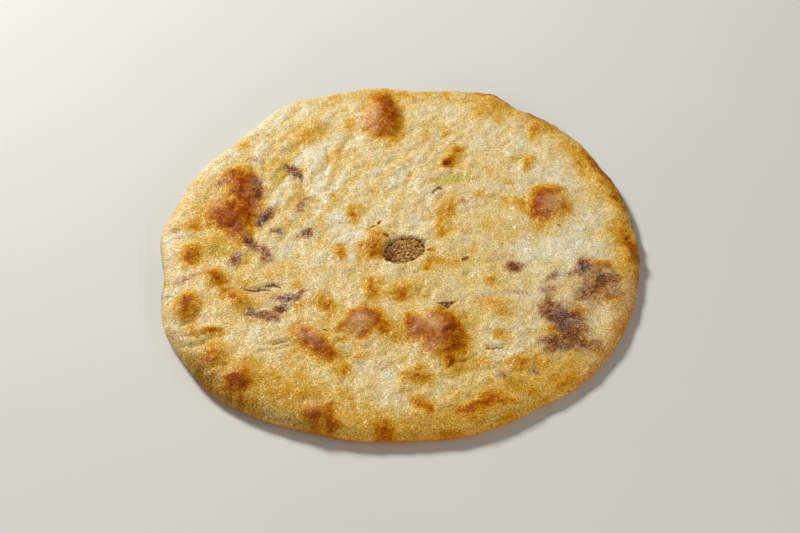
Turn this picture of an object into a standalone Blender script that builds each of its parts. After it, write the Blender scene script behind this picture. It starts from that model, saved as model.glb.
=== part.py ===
"""Ossetian pie: a flat round pie, thin leavened dough closed over a layer of minced filling.

The dough is one shell with a lid, a thick folded side and a base. Its pocket opens to the
outside through the steam vent near the middle and through one torn slit, and the filling
runs through the whole pocket. Metres, +Z up. The pie rests on z = 0, with the middle of
its outline at the origin.
"""

import math

import bmesh
import bpy
import numpy as np
from mathutils import Matrix, Vector

MM = 0.001

# The pie as a whole
PIE_RADIUS = 160.6 * MM
CENTRE_HEIGHT = 15.0 * MM
EDGE_HEIGHT = 11.8 * MM  # top of the rolled edge, on average
EDGE_HEIGHT_SWING = 1.8 * MM  # the edge is thicker on one side than on the other
THICK_SIDE = math.radians(195)
WIDEST_SHARE = 0.45  # height of the widest line, as a share of the edge's height
SHOULDER = 13 * MM  # from the edge in to where the lid starts
FOOT = 6.5 * MM  # from the edge in to where the base touches the ground

# The dough
LID = 3.0 * MM
BASE = 3.0 * MM
SIDE = 13 * MM
GAP = 0.3 * MM  # between the filling and the dough

# The hand-patted outline: lobes round the disc, height of each lobe, direction of the first
OUTLINE_LOBES = (
    (1, 1.2 * MM, math.radians(-110)),
    (2, 3.0 * MM, math.radians(75)),
    (3, 1.6 * MM, math.radians(-27)),
    (4, 1.6 * MM, math.radians(43)),
)
# Where the middle of the outline's box falls in these measures: it is laid on the origin
OUTLINE_MIDDLE = (-0.2 * MM, 0.85 * MM)
# Local bulges (+) and dips (-) of the edge: direction, height, half width in degrees
EDGE_BULGES = (
    (65, 4.6 * MM, 5),
    (84, -3.6 * MM, 7),
    (94, 1.8 * MM, 4),
    (116, 4.0 * MM, 7),
    (136, -4.4 * MM, 10),
    (173, 2.6 * MM, 6),
    (-172, -3.8 * MM, 7),
    (-155, 1.3 * MM, 5),
    (-135, 1.4 * MM, 7),
    (-112, -1.6 * MM, 7),
    (-77, 1.7 * MM, 7),
    (-59, -1.6 * MM, 6),
    (-3, 0.8 * MM, 3.5),
    (27, -1.6 * MM, 6),
    (57, -2.0 * MM, 4),
)

# Blisters of the lid, in mm: place (x, y), half length, half width, height, and the
# direction of the length in degrees
BLISTERS = (
    (-7, 125, 19, 11, 7.0, 100),  # the tallest, at the far edge
    (-107, 68, 11, 10, 2.0, 0),
    (-102, 50, 12, 11, 2.2, 0),
    (-111, 27, 14, 12, 2.6, 80),
    (-104, 14, 11, 8, 1.6, 90),
    (-98, -116, 10, 9, 3.4, 0),
    (-136, -5, 9, 7, 2.0, 90),
    (-119, -29, 9, 7, 2.0, 0),
    (-136, -53, 11, 8, 3.2, 80),
    (-122, -75, 11, 5, 2.6, 0),
    (-117, -94, 10, 8, 2.4, 60),
    (-102, -48, 9, 7, 2.4, -35),
    (-52, -88, 17, 9, 3.6, -40),
    (-24, -73, 16, 9, 3.4, -8),
    (21, -83, 21, 16, 4.6, -60),  # the broadest
    (8, -116, 8, 7, 1.8, 0),
    (1, -44, 11, 8, 1.5, 0),
    (-15, -2, 9, 7, 1.5, 60),
    (39, 80, 10, 6, 1.6, 50),
    (90, 72, 9, 5, 1.6, 70),
    (101, 32, 17, 13, 3.0, 90),
    (29, 30, 18, 7, 1.5, 100),
    (62, -62, 9, 8, 1.5, 0),
    (72, -108, 8, 7, 2.0, 0),
    (51, -140, 16, 7, 2.0, 15),
    (-53, -147, 10, 8, 3.0, 90),
    (-38, -151, 7, 6, 1.6, 0),
    (12, -146, 8, 7, 1.3, 0),
    (133, -88, 11, 5, 1.4, 60),
    (151, -17, 11, 6, 2.0, 90),
    (-57, 112, 13, 8, 1.5, 70),
    (-57, 75, 17, 8, 1.6, 75),
    (70, 139, 10, 6, 2.4, -30),
    (101, 112, 8, 7, 1.6, -45),
    (140, 55, 18, 7, 1.8, 115),
)
DOME_SPREAD = 1.3  # a blister's foot is this much wider than the named half sizes

# Long low folds and creases of the lid, in mm, laid out as the blisters are; below zero dips
FOLDS = (
    (-88, -40, 14, 4, -1.6, 5),
    (-77, -91, 12, 4, -1.4, 12),
    (-77, -83, 12, 4, 1.2, 12),
    (-100, -60, 22, 5, -1.0, 8),
    (-128, -64, 12, 4, -1.6, 5),
    (-128, -85, 12, 4, -1.4, 10),
    (-150, -44, 8, 4, -1.4, 0),
    (57, -96, 7, 3, -1.2, 0),
    (27, 46, 6, 4, -1.2, 35),
)

# Low seeded swells that keep the lid from lying flat anywhere
SWELL_COUNT = 150
SWELL_RADIUS = (6 * MM, 15 * MM)
SWELL_HEIGHT = (-0.7 * MM, 1.1 * MM)
SWELL_SEED = 11

# Openings of the lid
VENT_CENTRE = (3 * MM, -10 * MM)
VENT_HALF = (13.5 * MM, 12.5 * MM)
SLIT_CENTRE = (29 * MM, -58.5 * MM)
SLIT_HALF = (7 * MM, 3 * MM)
SLIT_TURN = math.radians(-4)

# Crumbs of the filling that show in the two openings: spacing, and how far their middles
# stay inside the opening's edge. A crumb is about a third wider than their spacing.
VENT_CRUMBS = (3.5 * MM, 3.6 * MM)
SLIT_CRUMBS = (2.0 * MM, 2.2 * MM)
CRUMB_WIDTH = (0.9, 1.45)
CRUMB_SEED = 5

# Fineness of the meshes
OUTER_SUBDIVISIONS = 7
OUTER_TRIANGLES = 8200
INNER_SUBDIVISIONS = 4
CRUMB_SUBDIVISIONS = 1
NEEDLE = 0.15 * MM  # triangles thinner than this are dissolved
FLAT = 0.02 * MM  # anything nearer the ground than this lies on it


def edge_radius(angle):
    """Distance of the outline from the origin in a direction."""
    radius = np.full_like(angle, PIE_RADIUS)
    for lobes, height, crest in OUTLINE_LOBES:
        radius += height * np.cos(lobes * (angle - crest))
    for direction, height, half_width in EDGE_BULGES:
        turn = np.angle(np.exp(1j * (angle - math.radians(direction))))
        radius += height * np.exp(-((turn / math.radians(half_width)) ** 2))
    return radius


def edge_height(angle):
    """Height of the top of the rolled edge in a direction."""
    return EDGE_HEIGHT + EDGE_HEIGHT_SWING * np.cos(angle - THICK_SIDE)


def dome(x, y, place, half_length, half_width, direction):
    """A rounded bump of height 1 whose foot is an oval, at points x, y."""
    turn = math.radians(direction)
    along = (x - place[0]) * math.cos(turn) + (y - place[1]) * math.sin(turn)
    across = (y - place[1]) * math.cos(turn) - (x - place[0]) * math.sin(turn)
    reach = (along / half_length) ** 2 + (across / half_width) ** 2
    return np.clip(1 - reach / DOME_SPREAD**2, 0, None) ** 2


def swells():
    """Places, radii and heights of the seeded swells, spread evenly over the lid."""
    draw = np.random.RandomState(SWELL_SEED)
    golden_turn = math.pi * (3 - math.sqrt(5))
    for k in range(SWELL_COUNT):
        reach = PIE_RADIUS * math.sqrt((k + 0.5) / SWELL_COUNT)
        angle = k * golden_turn + draw.uniform(-0.3, 0.3)
        place = (reach * math.cos(angle), reach * math.sin(angle))
        yield place, draw.uniform(*SWELL_RADIUS), draw.uniform(*SWELL_HEIGHT)


def relief(x, y):
    """How far the lid stands out from its smooth form at points x, y."""
    rise = np.zeros_like(x)
    for east, north, half_length, half_width, height, direction in BLISTERS + FOLDS:
        place = (east * MM, north * MM)
        rise += height * MM * dome(x, y, place, half_length * MM, half_width * MM, direction)
    for place, radius, height in swells():
        rise += height * dome(x, y, place, radius, radius, 0)
    return rise


def smooth_top(inset, angle):
    """Height of the smooth lid at a distance inside the edge."""
    rise = 1 - np.exp(-np.clip(inset - SHOULDER, 0, None) / (45 * MM))
    low = edge_height(angle)
    return low + (CENTRE_HEIGHT - low) * rise


def pressed_ball(name, subdivisions, side=0.0, low=0.0, drop=0.0, with_relief=False):
    """A ball pressed flat into the pie's form.

    side is how far the form stays inside the outline, low is the height of its flat
    underside and drop is how far its top stays under the lid's smooth top.
    """
    mesh = bpy.data.meshes.new(name)
    ball = bmesh.new()
    bmesh.ops.create_icosphere(ball, subdivisions=subdivisions, radius=1)
    ball.to_mesh(mesh)
    ball.free()
    points = np.empty(len(mesh.vertices) * 3)
    mesh.vertices.foreach_get("co", points)
    points = points.reshape(-1, 3)
    angle = np.arctan2(points[:, 1], points[:, 0])
    share = np.clip(points[:, 2], -1, 1)
    edge = edge_radius(angle) - side
    shoulder = SHOULDER if side == 0 else SHOULDER / 2
    foot = FOOT if side == 0 else FOOT / 2
    lid_share = 0.1  # the ball above this height makes the lid
    base_share = -0.25  # and below this the base, with the side between them

    on_lid = share >= lid_share
    on_base = share <= base_share
    tilt = np.clip((share - base_share) / (lid_share - base_share), 0, 1) * math.pi - math.pi / 2
    width = np.where(tilt > 0, shoulder, foot)
    inset = width * (1 - np.cos(tilt))
    lid_reach = np.sqrt(np.clip((1 - share) / (1 - lid_share), 0, 1))
    base_reach = np.sqrt(np.clip((1 + share) / (1 + base_share), 0, 1))
    inset = np.where(on_lid, edge - (edge - shoulder) * lid_reach, inset)
    inset = np.where(on_base, edge - (edge - foot) * base_reach, inset)

    top = smooth_top(inset + side, angle) - drop
    widest = low + WIDEST_SHARE * (edge_height(angle) - drop - low)
    z = np.where(tilt > 0, widest + (top - widest) * np.sin(tilt), widest + (widest - low) * np.sin(tilt))
    z = np.where(on_lid, top, np.where(on_base, low, z))
    reach = edge - inset
    x = reach * np.cos(angle)
    y = reach * np.sin(angle)
    if with_relief:
        out = relief(x, y)
        fade = np.where(on_lid, 1.0, np.clip(0.35 + np.sin(tilt), 0, 1))
        fade = np.where(on_base, 0.0, fade)
        sideways = np.where(on_lid, 0.0, np.cos(tilt))
        x += out * fade * sideways * np.cos(angle) * 0.5
        y += out * fade * sideways * np.sin(angle) * 0.5
        z += out * fade * np.where(on_lid, 1.0, np.clip(np.sin(tilt), 0, 1))
    mesh.vertices.foreach_set("co", np.column_stack((x, y, z)).ravel())
    mesh.update()
    return bpy.data.objects.new(name, mesh)


def thin_out(piece, triangles):
    """Leave about so many triangles, most of them where the form bends."""
    decimate = piece.modifiers.new("Thin out", "DECIMATE")
    decimate.ratio = triangles / len(piece.data.polygons)
    apply_modifiers(piece)
    cleaned = bmesh.new()
    cleaned.from_mesh(piece.data)
    bmesh.ops.dissolve_degenerate(cleaned, dist=NEEDLE, edges=cleaned.edges)
    bmesh.ops.triangulate(cleaned, faces=cleaned.faces)
    cleaned.to_mesh(piece.data)
    cleaned.free()


def apply_modifiers(piece):
    bpy.context.view_layer.update()
    evaluated = piece.evaluated_get(bpy.context.evaluated_depsgraph_get())
    mesh = bpy.data.meshes.new_from_object(evaluated)
    piece.modifiers.clear()
    piece.data = mesh


def lay_flat(piece, low=0.0):
    """Put the underside's points exactly on its plane."""
    for vertex in piece.data.vertices:
        if vertex.co.z < low + FLAT:
            vertex.co.z = low


def opening_cutter(name, centre, half, turn, sides=28):
    """An upright oval plug that opens the lid down into the pocket."""
    mesh = bpy.data.meshes.new(name)
    plug = bmesh.new()
    bmesh.ops.create_cone(
        plug, cap_ends=True, segments=sides, radius1=0.93, radius2=1.06, depth=20 * MM
    )
    place = Matrix.Translation((centre[0], centre[1], 17 * MM))
    stretch = Matrix.Diagonal((half[0], half[1], 1, 1))
    bmesh.ops.transform(plug, matrix=place @ Matrix.Rotation(turn, 4, "Z") @ stretch, verts=plug.verts)
    plug.to_mesh(mesh)
    plug.free()
    return bpy.data.objects.new(name, mesh)


def boolean(piece, operation, other):
    cut = piece.modifiers.new(other.name, "BOOLEAN")
    cut.operation = operation
    cut.solver = "EXACT"
    cut.object = other


def material(name, colour, roughness):
    dough = bpy.data.materials.new(name)
    dough.use_nodes = True
    shader = dough.node_tree.nodes["Principled BSDF"]
    shader.inputs["Base Color"].default_value = (*colour, 1)
    shader.inputs["Roughness"].default_value = roughness
    shader.inputs["Metallic"].default_value = 0
    return dough


def make_crust(parts, cutters):
    crust = pressed_ball("crust", OUTER_SUBDIVISIONS, with_relief=True)
    parts.objects.link(crust)
    thin_out(crust, OUTER_TRIANGLES)
    lay_flat(crust)

    pocket = pressed_ball("pocket_cutter", INNER_SUBDIVISIONS, side=SIDE, low=BASE, drop=LID)
    vent = opening_cutter("vent_cutter", VENT_CENTRE, VENT_HALF, 0)
    slit = opening_cutter("slit_cutter", SLIT_CENTRE, SLIT_HALF, SLIT_TURN, sides=16)
    for cutter in (pocket, vent, slit):
        cutters.objects.link(cutter)
        cutter.hide_render = True
        cutter.display_type = "WIRE"
        boolean(crust, "DIFFERENCE", cutter)
    crust.data.materials.append(material("baked_crust", (0.78, 0.55, 0.24), 0.45))
    return crust


def crumb_spots(centre, half, turn, spacing, margin, draw):
    """Places for crumbs on a loose triangular grid inside an oval opening."""
    row_step = spacing * math.sqrt(3) / 2
    rows = int(half[1] / row_step) + 1
    columns = int(half[0] / spacing) + 1
    for row in range(-rows, rows + 1):
        for column in range(-columns, columns + 1):
            x = (column + 0.5 * (row % 2) + draw.uniform(-0.15, 0.15)) * spacing
            y = row * row_step + draw.uniform(-0.15, 0.15) * spacing
            if (x / (half[0] - margin)) ** 2 + (y / (half[1] - margin)) ** 2 < 1:
                spot = Matrix.Rotation(turn, 3, "Z") @ Vector((x, y, 0))
                yield centre[0] + spot.x, centre[1] + spot.y


def crumb(name, spot, spacing, draw):
    """One minced crumb, a small uneven lump half sunk in the layer under the lid."""
    mesh = bpy.data.meshes.new(name)
    lump = bmesh.new()
    bmesh.ops.create_icosphere(lump, subdivisions=CRUMB_SUBDIVISIONS, radius=0.5)
    size = Vector([draw.uniform(*CRUMB_WIDTH) * spacing for _ in range(3)])
    turn = Matrix.Rotation(draw.uniform(0, math.tau), 4, Vector(draw.uniform(-1, 1, 3)))
    angle = np.array(math.atan2(spot[1], spot[0]))
    inset = edge_radius(angle) - math.hypot(*spot)
    top = float(smooth_top(inset, angle)) - LID - GAP
    place = Matrix.Translation((spot[0], spot[1], top + draw.uniform(-0.15, 0.15) * spacing))
    bmesh.ops.transform(lump, matrix=place @ turn @ Matrix.Diagonal((*size, 1)), verts=lump.verts)
    lump.to_mesh(mesh)
    lump.free()
    return bpy.data.objects.new(name, mesh)


def make_filling(parts):
    filling = pressed_ball(
        "filling", INNER_SUBDIVISIONS, side=SIDE + GAP, low=BASE + GAP, drop=LID + GAP
    )
    parts.objects.link(filling)
    heap = bpy.data.collections.new("filling_crumbs")
    bpy.context.scene.collection.children.link(heap)
    draw = np.random.RandomState(CRUMB_SEED)
    openings = (
        (VENT_CENTRE, VENT_HALF, 0, *VENT_CRUMBS),
        (SLIT_CENTRE, SLIT_HALF, SLIT_TURN, *SLIT_CRUMBS),
    )
    for centre, half, turn, spacing, margin in openings:
        for spot in crumb_spots(centre, half, turn, spacing, margin, draw):
            heap.objects.link(crumb("crumb", spot, spacing, draw))

    join = filling.modifiers.new("Crumbs", "BOOLEAN")
    join.operation = "UNION"
    join.solver = "EXACT"
    join.operand_type = "COLLECTION"
    join.collection = heap
    apply_modifiers(filling)
    for lump in list(heap.objects):
        bpy.data.objects.remove(lump)
    bpy.data.collections.remove(heap)
    lay_flat(filling, BASE + GAP)
    filling.data.materials.clear()
    filling.data.materials.append(material("minced_filling", (0.25, 0.15, 0.08), 0.35))
    return filling


def main():
    for old in list(bpy.data.objects):
        bpy.data.objects.remove(old)
    parts = bpy.data.collections.new("ossetian_pie")
    cutters = bpy.data.collections.new("cutters")
    for group in (parts, cutters):
        bpy.context.scene.collection.children.link(group)
    for piece in (make_crust(parts, cutters), make_filling(parts)):
        piece.data.shade_smooth()
    middle = bpy.data.objects.new("outline_middle", None)
    bpy.context.scene.collection.objects.link(middle)
    middle.location = (-OUTLINE_MIDDLE[0], -OUTLINE_MIDDLE[1], 0)
    for piece in (*parts.objects, *cutters.objects):
        piece.parent = middle


main()
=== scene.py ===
# %% [markdown]
# # An Ossetian pie
# A flat round pie, straight from the oven and brushed with butter: thin leavened dough
# closed over minced filling, patted out by hand to about 32 cm. The lesson starts from the
# measured model of the pie and gives it the surface that the eye sees: blisters and folds
# in the dough, browning, stains where the filling shows through, and wet mince in the vent.

# %% Load the measured model
import math

import bpy
import numpy as np
from mathutils import Matrix, Vector


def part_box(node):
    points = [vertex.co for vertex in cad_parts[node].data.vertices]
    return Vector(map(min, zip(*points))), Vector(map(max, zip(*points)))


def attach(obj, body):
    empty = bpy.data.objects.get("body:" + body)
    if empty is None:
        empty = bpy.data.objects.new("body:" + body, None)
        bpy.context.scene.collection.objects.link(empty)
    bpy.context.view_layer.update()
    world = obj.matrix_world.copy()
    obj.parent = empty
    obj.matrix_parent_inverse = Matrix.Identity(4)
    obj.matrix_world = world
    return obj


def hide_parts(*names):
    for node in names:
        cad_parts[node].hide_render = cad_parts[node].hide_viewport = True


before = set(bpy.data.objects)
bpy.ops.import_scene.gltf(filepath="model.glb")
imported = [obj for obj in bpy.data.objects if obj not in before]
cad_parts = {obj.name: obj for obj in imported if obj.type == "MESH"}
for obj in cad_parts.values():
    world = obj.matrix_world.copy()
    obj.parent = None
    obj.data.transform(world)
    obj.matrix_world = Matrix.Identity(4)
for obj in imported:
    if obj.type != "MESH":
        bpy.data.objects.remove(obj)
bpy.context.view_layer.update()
MM = 0.001


def pick(*pieces):
    """Select these pieces alone, with the last one active."""
    bpy.ops.object.select_all(action="DESELECT")
    for piece in pieces:
        piece.select_set(True)
        bpy.context.view_layer.objects.active = piece


pick()
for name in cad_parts:
    low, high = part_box(name)
    print(name, "measures", [round(side / MM, 1) for side in high - low], "mm")

# %% [markdown]
# ## The camera
# The photograph looks down on the pie from about 45 degrees with a long lens, a little
# over a metre away and tipped by two degrees. The camera is placed by its aim, its
# distance and its height angle, so that each of them can be corrected on its own.

# %% Camera
LOOKS_DOWN = math.radians(45.5)
CAMERA_DISTANCE = 1.188
CAMERA_ROLL = math.radians(-2)
AIM = Vector((0.45, -11.85, 0)) * MM
LENS_MM = 81.7
SENSOR_MM = 36

tilt_back = Matrix.Rotation(math.pi / 2 - LOOKS_DOWN, 4, "X")
roll = Matrix.Rotation(CAMERA_ROLL, 4, "Z")
bpy.ops.object.camera_add()
camera = bpy.context.object
turned = Matrix.Translation(AIM) @ tilt_back @ roll
camera.matrix_world = turned @ Matrix.Translation((0, 0, CAMERA_DISTANCE))
camera.data.lens = LENS_MM
camera.data.sensor_width = SENSOR_MM
bpy.context.scene.camera = camera
print("camera at", [round(v, 3) for v in camera.matrix_world.translation])

# %% [markdown]
# ## The outline and the height
# The dough was patted out by hand, so the outline is a circle with a few long lobes and a
# dozen local bulges and dips. The lid swells gently from the rolled edge to the middle.
# Formulas suit such a shape better than a drawn outline, because each bulge can be moved
# or lowered alone. They repeat the solid model's measures and add two things to them, a
# dip of the edge and the uneven drop of the shoulder.

# %% Measures of the pie
PIE_RADIUS = 160.6 * MM
CENTRE_HEIGHT = 15.0 * MM
RISE_LENGTH = 45 * MM  # over which the lid swells towards that height
EDGE_HEIGHT = 11.8 * MM
EDGE_HEIGHT_SWING = 1.8 * MM  # higher on the thick side and lower across from it
THICK_SIDE = math.radians(195)
WIDEST_SHARE = 0.45  # of its height, where the edge reaches out most
SHOULDER = 13 * MM  # from the edge in to where the lid starts
FOOT = 6.5 * MM  # from the edge in to where the base starts
LID = 3.0 * MM  # thickness of the dough above the filling
BASE = 3.0 * MM  # and below it
SIDE = 13 * MM  # and around it, where it is folded
GAP = 0.3 * MM  # between dough and filling
OUTLINE_MIDDLE = (-0.2 * MM, 0.85 * MM)  # moved to the origin at the end
# Number of lobes, height in mm, direction of the first crest in degrees
OUTLINE_LOBES = ((1, 1.2, -110), (2, 3.0, 75), (3, 1.6, -27), (4, 1.6, 43))
# Direction in degrees, height in mm, half width in degrees
EDGE_BULGES = (
    (65, 4.6, 5), (84, -3.6, 7), (94, 1.8, 4), (116, 4.0, 7), (136, -4.4, 10), (173, 2.6, 6),
    (-172, -3.8, 7), (-155, 1.3, 5), (-135, 1.4, 7), (-112, -1.6, 7), (-77, 1.7, 7), (-59, -1.6, 6),
    (-3, 0.8, 3.5), (27, -1.6, 6), (57, -2.0, 4),
)
EDGE_DIPS = ((318, -1.5, 35),)
SHOULDER_SWINGS = ((222, -5, 28), (318, 5, 35))  # steep at the left front
print("pie of", round(2 * PIE_RADIUS / MM, 1), "mm with", len(EDGE_BULGES), "bulges and dips")

# %% Outline and height
def swings(angle, bumps):
    """The sum of some local bumps around the edge."""
    total = np.zeros_like(angle)
    for direction, height, half_width in bumps:
        turn = np.angle(np.exp(1j * (angle - math.radians(direction))))
        total += height * MM * np.exp(-((turn / math.radians(half_width)) ** 2))
    return total


def edge_radius(angle):
    """Distance of the outline from the origin in a direction."""
    radius = PIE_RADIUS + swings(angle, EDGE_BULGES)
    for lobes, height, crest in OUTLINE_LOBES:
        radius += height * MM * np.cos(lobes * (angle - math.radians(crest)))
    return radius


def edge_height(angle):
    """Height of the top of the rolled edge in a direction."""
    return EDGE_HEIGHT + EDGE_HEIGHT_SWING * np.cos(angle - THICK_SIDE) + swings(angle, EDGE_DIPS)


def shoulder_width(angle):
    """How far the rolled edge reaches in over the lid in a direction."""
    return SHOULDER + swings(angle, SHOULDER_SWINGS)


def smooth_top(inset, angle):
    """Height of the smooth lid at a distance inside the edge."""
    rise = 1 - np.exp(-np.clip(inset - shoulder_width(angle), 0, None) / RISE_LENGTH)
    low = edge_height(angle)
    return low + (CENTRE_HEIGHT - low) * rise


reaches = edge_radius(np.radians(np.arange(360.0))) / MM
print("outline", round(reaches.min(), 1), "to", round(reaches.max(), 1), "mm from the origin")

# %% [markdown]
# ## Blisters, folds and swells
# Steam lifts thin dough into blisters, and folds and cracks stay where the dough was
# gathered and sealed. They could be sculpted by hand. Listed places do the same and can be
# read, corrected and moved one at a time. Low random swells fill the rest, spread over the
# lid by the golden angle, as a hand would never leave the dough quite flat.

# %% Blisters
# In mm: place (x, y), half length, half width, height, direction of the length in degrees
BLISTERS = (
    (-7, 125, 19, 11, 7.0, 100), (-107, 68, 11, 10, 2.0, 0), (-102, 50, 12, 11, 2.2, 0),
    (-111, 27, 14, 12, 2.6, 80), (-104, 14, 11, 8, 1.6, 90), (-98, -113, 10, 10, 3.4, 90),
    (-136, -5, 9, 7, 2.0, 90), (-119, -29, 9, 7, 2.0, 0), (-136, -53, 11, 8, 3.2, 80),
    (-122, -75, 11, 5, 2.6, 0), (-117, -94, 10, 8, 2.4, 60), (-102, -48, 9, 7, 2.4, -35),
    (-52, -88, 17, 9, 3.6, -40), (-24, -73, 16, 9, 3.4, -8), (21, -83, 21, 16, 4.6, -60),
    (8, -116, 8, 7, 1.8, 0), (1, -44, 11, 8, 1.5, 0), (-15, -2, 9, 7, 1.5, 60),
    (39, 80, 10, 6, 1.6, 50), (90, 72, 9, 5, 1.6, 70), (101, 32, 17, 13, 3.0, 90),
    (29, 30, 18, 7, 1.5, 100), (62, -62, 9, 8, 1.5, 0), (72, -108, 8, 7, 2.0, 0),
    (51, -140, 16, 7, 2.0, 15), (-53, -147, 10, 8, 3.0, 90), (-38, -151, 7, 6, 1.6, 0),
    (12, -146, 8, 7, 1.3, 0), (133, -88, 11, 5, 1.4, 60), (151, -17, 11, 6, 2.0, 90),
    (-57, 112, 13, 8, 1.5, 70), (-57, 75, 17, 8, 1.6, 75), (70, 139, 10, 6, 2.4, -30),
    (101, 112, 8, 7, 1.6, -45), (140, 55, 18, 7, 1.8, 115),
)
print(len(BLISTERS), "blisters, the highest", max(height for *_, height, _ in BLISTERS), "mm")

# %% Folds and creases
# Written as the blisters are, with a height below zero where the dough dips
FOLDS = (
    (-88, -40, 14, 4, -1.6, 5), (-77, -91, 12, 4, -1.4, 12), (-77, -83, 12, 4, 1.2, 12),
    (-100, -60, 22, 5, -1.0, 8), (-128, -64, 12, 4, -1.6, 5), (-128, -85, 12, 4, -1.4, 10),
    (-150, -44, 8, 4, -1.4, 0), (27, 46, 6, 4, -1.2, 35),
)
# In mm: half width, depth (below zero for a raised edge), how dark the line is from 0 to 1,
# and the places it runs through. The dark ones are cracks and torn bubbles.
CREASES = (
    (0.8, 0.9, 1.0, ((-99, -41), (-93, -42.5), (-88, -40.5), (-84, -41.5))),
    (0.7, 0.8, 0.9, ((-86, -38), (-81, -37), (-77, -39.5))),
    (1.6, -0.7, 0, ((-92, -38), (-86, -36.5), (-79, -37))),
    (1.6, 0.5, 0.1, ((-114, -41), (-106, -40), (-101, -40))),
    (2.2, 1.5, 0.15, ((-156, -33), (-146, -33), (-138, -36))),
    (2.0, 1.4, 0.15, ((-153, -62), (-143, -67), (-131, -69), (-123, -66))),
    (1.6, 1.3, 0.3, ((-131, -79), (-122, -77), (-112, -75))),
    (1.4, 0.7, 0.12, ((-112, -65), (-97, -68), (-86, -72), (-76, -77), (-71, -81))),
    (0.8, 0.9, 0.5, ((-84, -88), (-77, -88.5), (-71, -86))),
    (1.3, -1.2, 0, ((-87, -92), (-79, -92), (-70, -89.5))),
    (1.6, 1.2, 0.2, ((-138, -84), (-128, -88), (-123, -83))),
    (1.5, 1.0, 0.2, ((-122, -108), (-115, -104), (-108, -104))),
    (0.8, 0.8, 0.7, ((52, -96.5), (57, -95.5), (62, -96))),
    (1.1, 1.0, 0.4, ((28, -112), (34, -107), (41, -103), (46, -101))),
    (1.2, -0.7, 0, ((51, -93.5), (57, -92.5), (63, -93))),
    (0.6, 0.4, 0.5, ((-20, 10), (-15, 12.5), (-11, 17))),
    (0.8, 0.8, 0.8, ((23, 42), (29, 48))),
    (1.8, 1.2, 0.1, ((-67, 96), (-63, 82), (-62, 66), (-63, 52))),
    (2.4, 0.9, 0.0, ((-46, 92), (-46, 76), (-49, 60))),
    (2.0, 0.9, 0.0, ((-90, 82), (-89, 64), (-92, 48))),
    (2.0, 0.8, 0.0, ((-76, 64), (-76, 48), (-79, 36))),
    (1.4, 1.0, 0.2, ((-70, 76), (-73, 70), (-68, 62))),
    (1.5, 0.9, 0.1, ((-32, 101), (-37, 88), (-38, 80))),
)
print(len(FOLDS), "folds and", len(CREASES), "creases")

# %% Domes and swells
DOME_SPREAD = 1.3  # a blister's foot is this much larger than its oval
BLISTER_SHARPNESS = 1.4
FOLD_SHARPNESS = 2.0
SWELL_COUNT = 150
SWELL_RADIUS = (6 * MM, 15 * MM)
SWELL_HEIGHT = (-0.7 * MM, 1.1 * MM)
SWELL_TURN = 0.3  # how far a swell may leave its place on the spiral, in radians
SWELL_SEED = 11


def oval(x, y, place, half_length, half_width, direction):
    """1 on the edge of an oval, 0 in its middle and more than 1 outside it."""
    turn = math.radians(direction)
    along = (x - place[0]) * math.cos(turn) + (y - place[1]) * math.sin(turn)
    across = (y - place[1]) * math.cos(turn) - (x - place[0]) * math.sin(turn)
    return np.sqrt((along / half_length) ** 2 + (across / half_width) ** 2)


def dome(x, y, place, half_length, half_width, direction, sharpness=FOLD_SHARPNESS):
    """A rounded bump of height 1 whose foot is an oval; a low sharpness makes it fuller."""
    reach = oval(x, y, place, half_length, half_width, direction) / DOME_SPREAD
    return np.clip(1 - reach**2, 0, None) ** sharpness


def swells():
    """Places, radii and heights of the low random swells."""
    draw = np.random.RandomState(SWELL_SEED)
    golden_turn = math.pi * (3 - math.sqrt(5))
    for k in range(SWELL_COUNT):
        reach = PIE_RADIUS * math.sqrt((k + 0.5) / SWELL_COUNT)
        angle = k * golden_turn + draw.uniform(-SWELL_TURN, SWELL_TURN)
        place = (reach * math.cos(angle), reach * math.sin(angle))
        yield place, draw.uniform(*SWELL_RADIUS), draw.uniform(*SWELL_HEIGHT)


print(SWELL_COUNT, "swells, the first at", [round(v / MM, 1) for v in next(swells())[0]], "mm")

# %% [markdown]
# ## Random unevenness
# Baked skin is wrinkled at every size from a palm down to a grain of flour. A table of
# random heights, read smoothly in between, gives bumps of a chosen width in millimetres.
# Blender's own noise could do it too, but only on a finished surface. This helper moves
# the dough here and breaks up the edges of the colours later.

# %% Smooth noise
NOISE_CELLS = 256


def noise(x, y, width, seed):
    """Smooth random values from -1 to 1 at points x, y, with bumps of about this width."""
    table = np.random.RandomState(seed).uniform(-1, 1, (NOISE_CELLS, NOISE_CELLS))
    u = x / width + NOISE_CELLS
    v = y / width + NOISE_CELLS
    column = np.floor(u).astype(int)
    row = np.floor(v).astype(int)
    a = u - column
    b = v - row
    a = a * a * (3 - 2 * a)
    b = b * b * (3 - 2 * b)

    def cell(i, j):
        return table[(column + i) % NOISE_CELLS, (row + j) % NOISE_CELLS]

    near = cell(0, 0) * (1 - a) + cell(1, 0) * a
    far = cell(0, 1) * (1 - a) + cell(1, 1) * a
    return near * (1 - b) + far * b


def patchy(x, y, level, *patches):
    """A level made uneven by patches, each with its width, depth and seed."""
    for width, depth, seed in patches:
        level = level + depth * noise(x, y, width, seed)
    return level


sample = noise(*np.mgrid[0:1:100j, 0:1:100j] * PIE_RADIUS, width=9 * MM, seed=31)
print("noise from", round(sample.min(), 2), "to", round(sample.max(), 2))

# %% [markdown]
# ## The skin of the dough
# The oven dries the thin lid, and it rises in round puffs a centimetre across, fuller in
# some places than in others. At the edge it wrinkles inwards. At the back on the left, on
# the front blisters and on the one at the left edge, the hand has drawn it out into long
# wrinkles. A single noise has the same look all over, so each of these is a layer with its
# own places.

# %% Puffs
PUFF_REACH = (0.4, 0.4)  # of a cell: the smallest puff, and what its random size adds
PUFF_LEVEL = 0.3  # the height of a puff that counts as level


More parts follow.
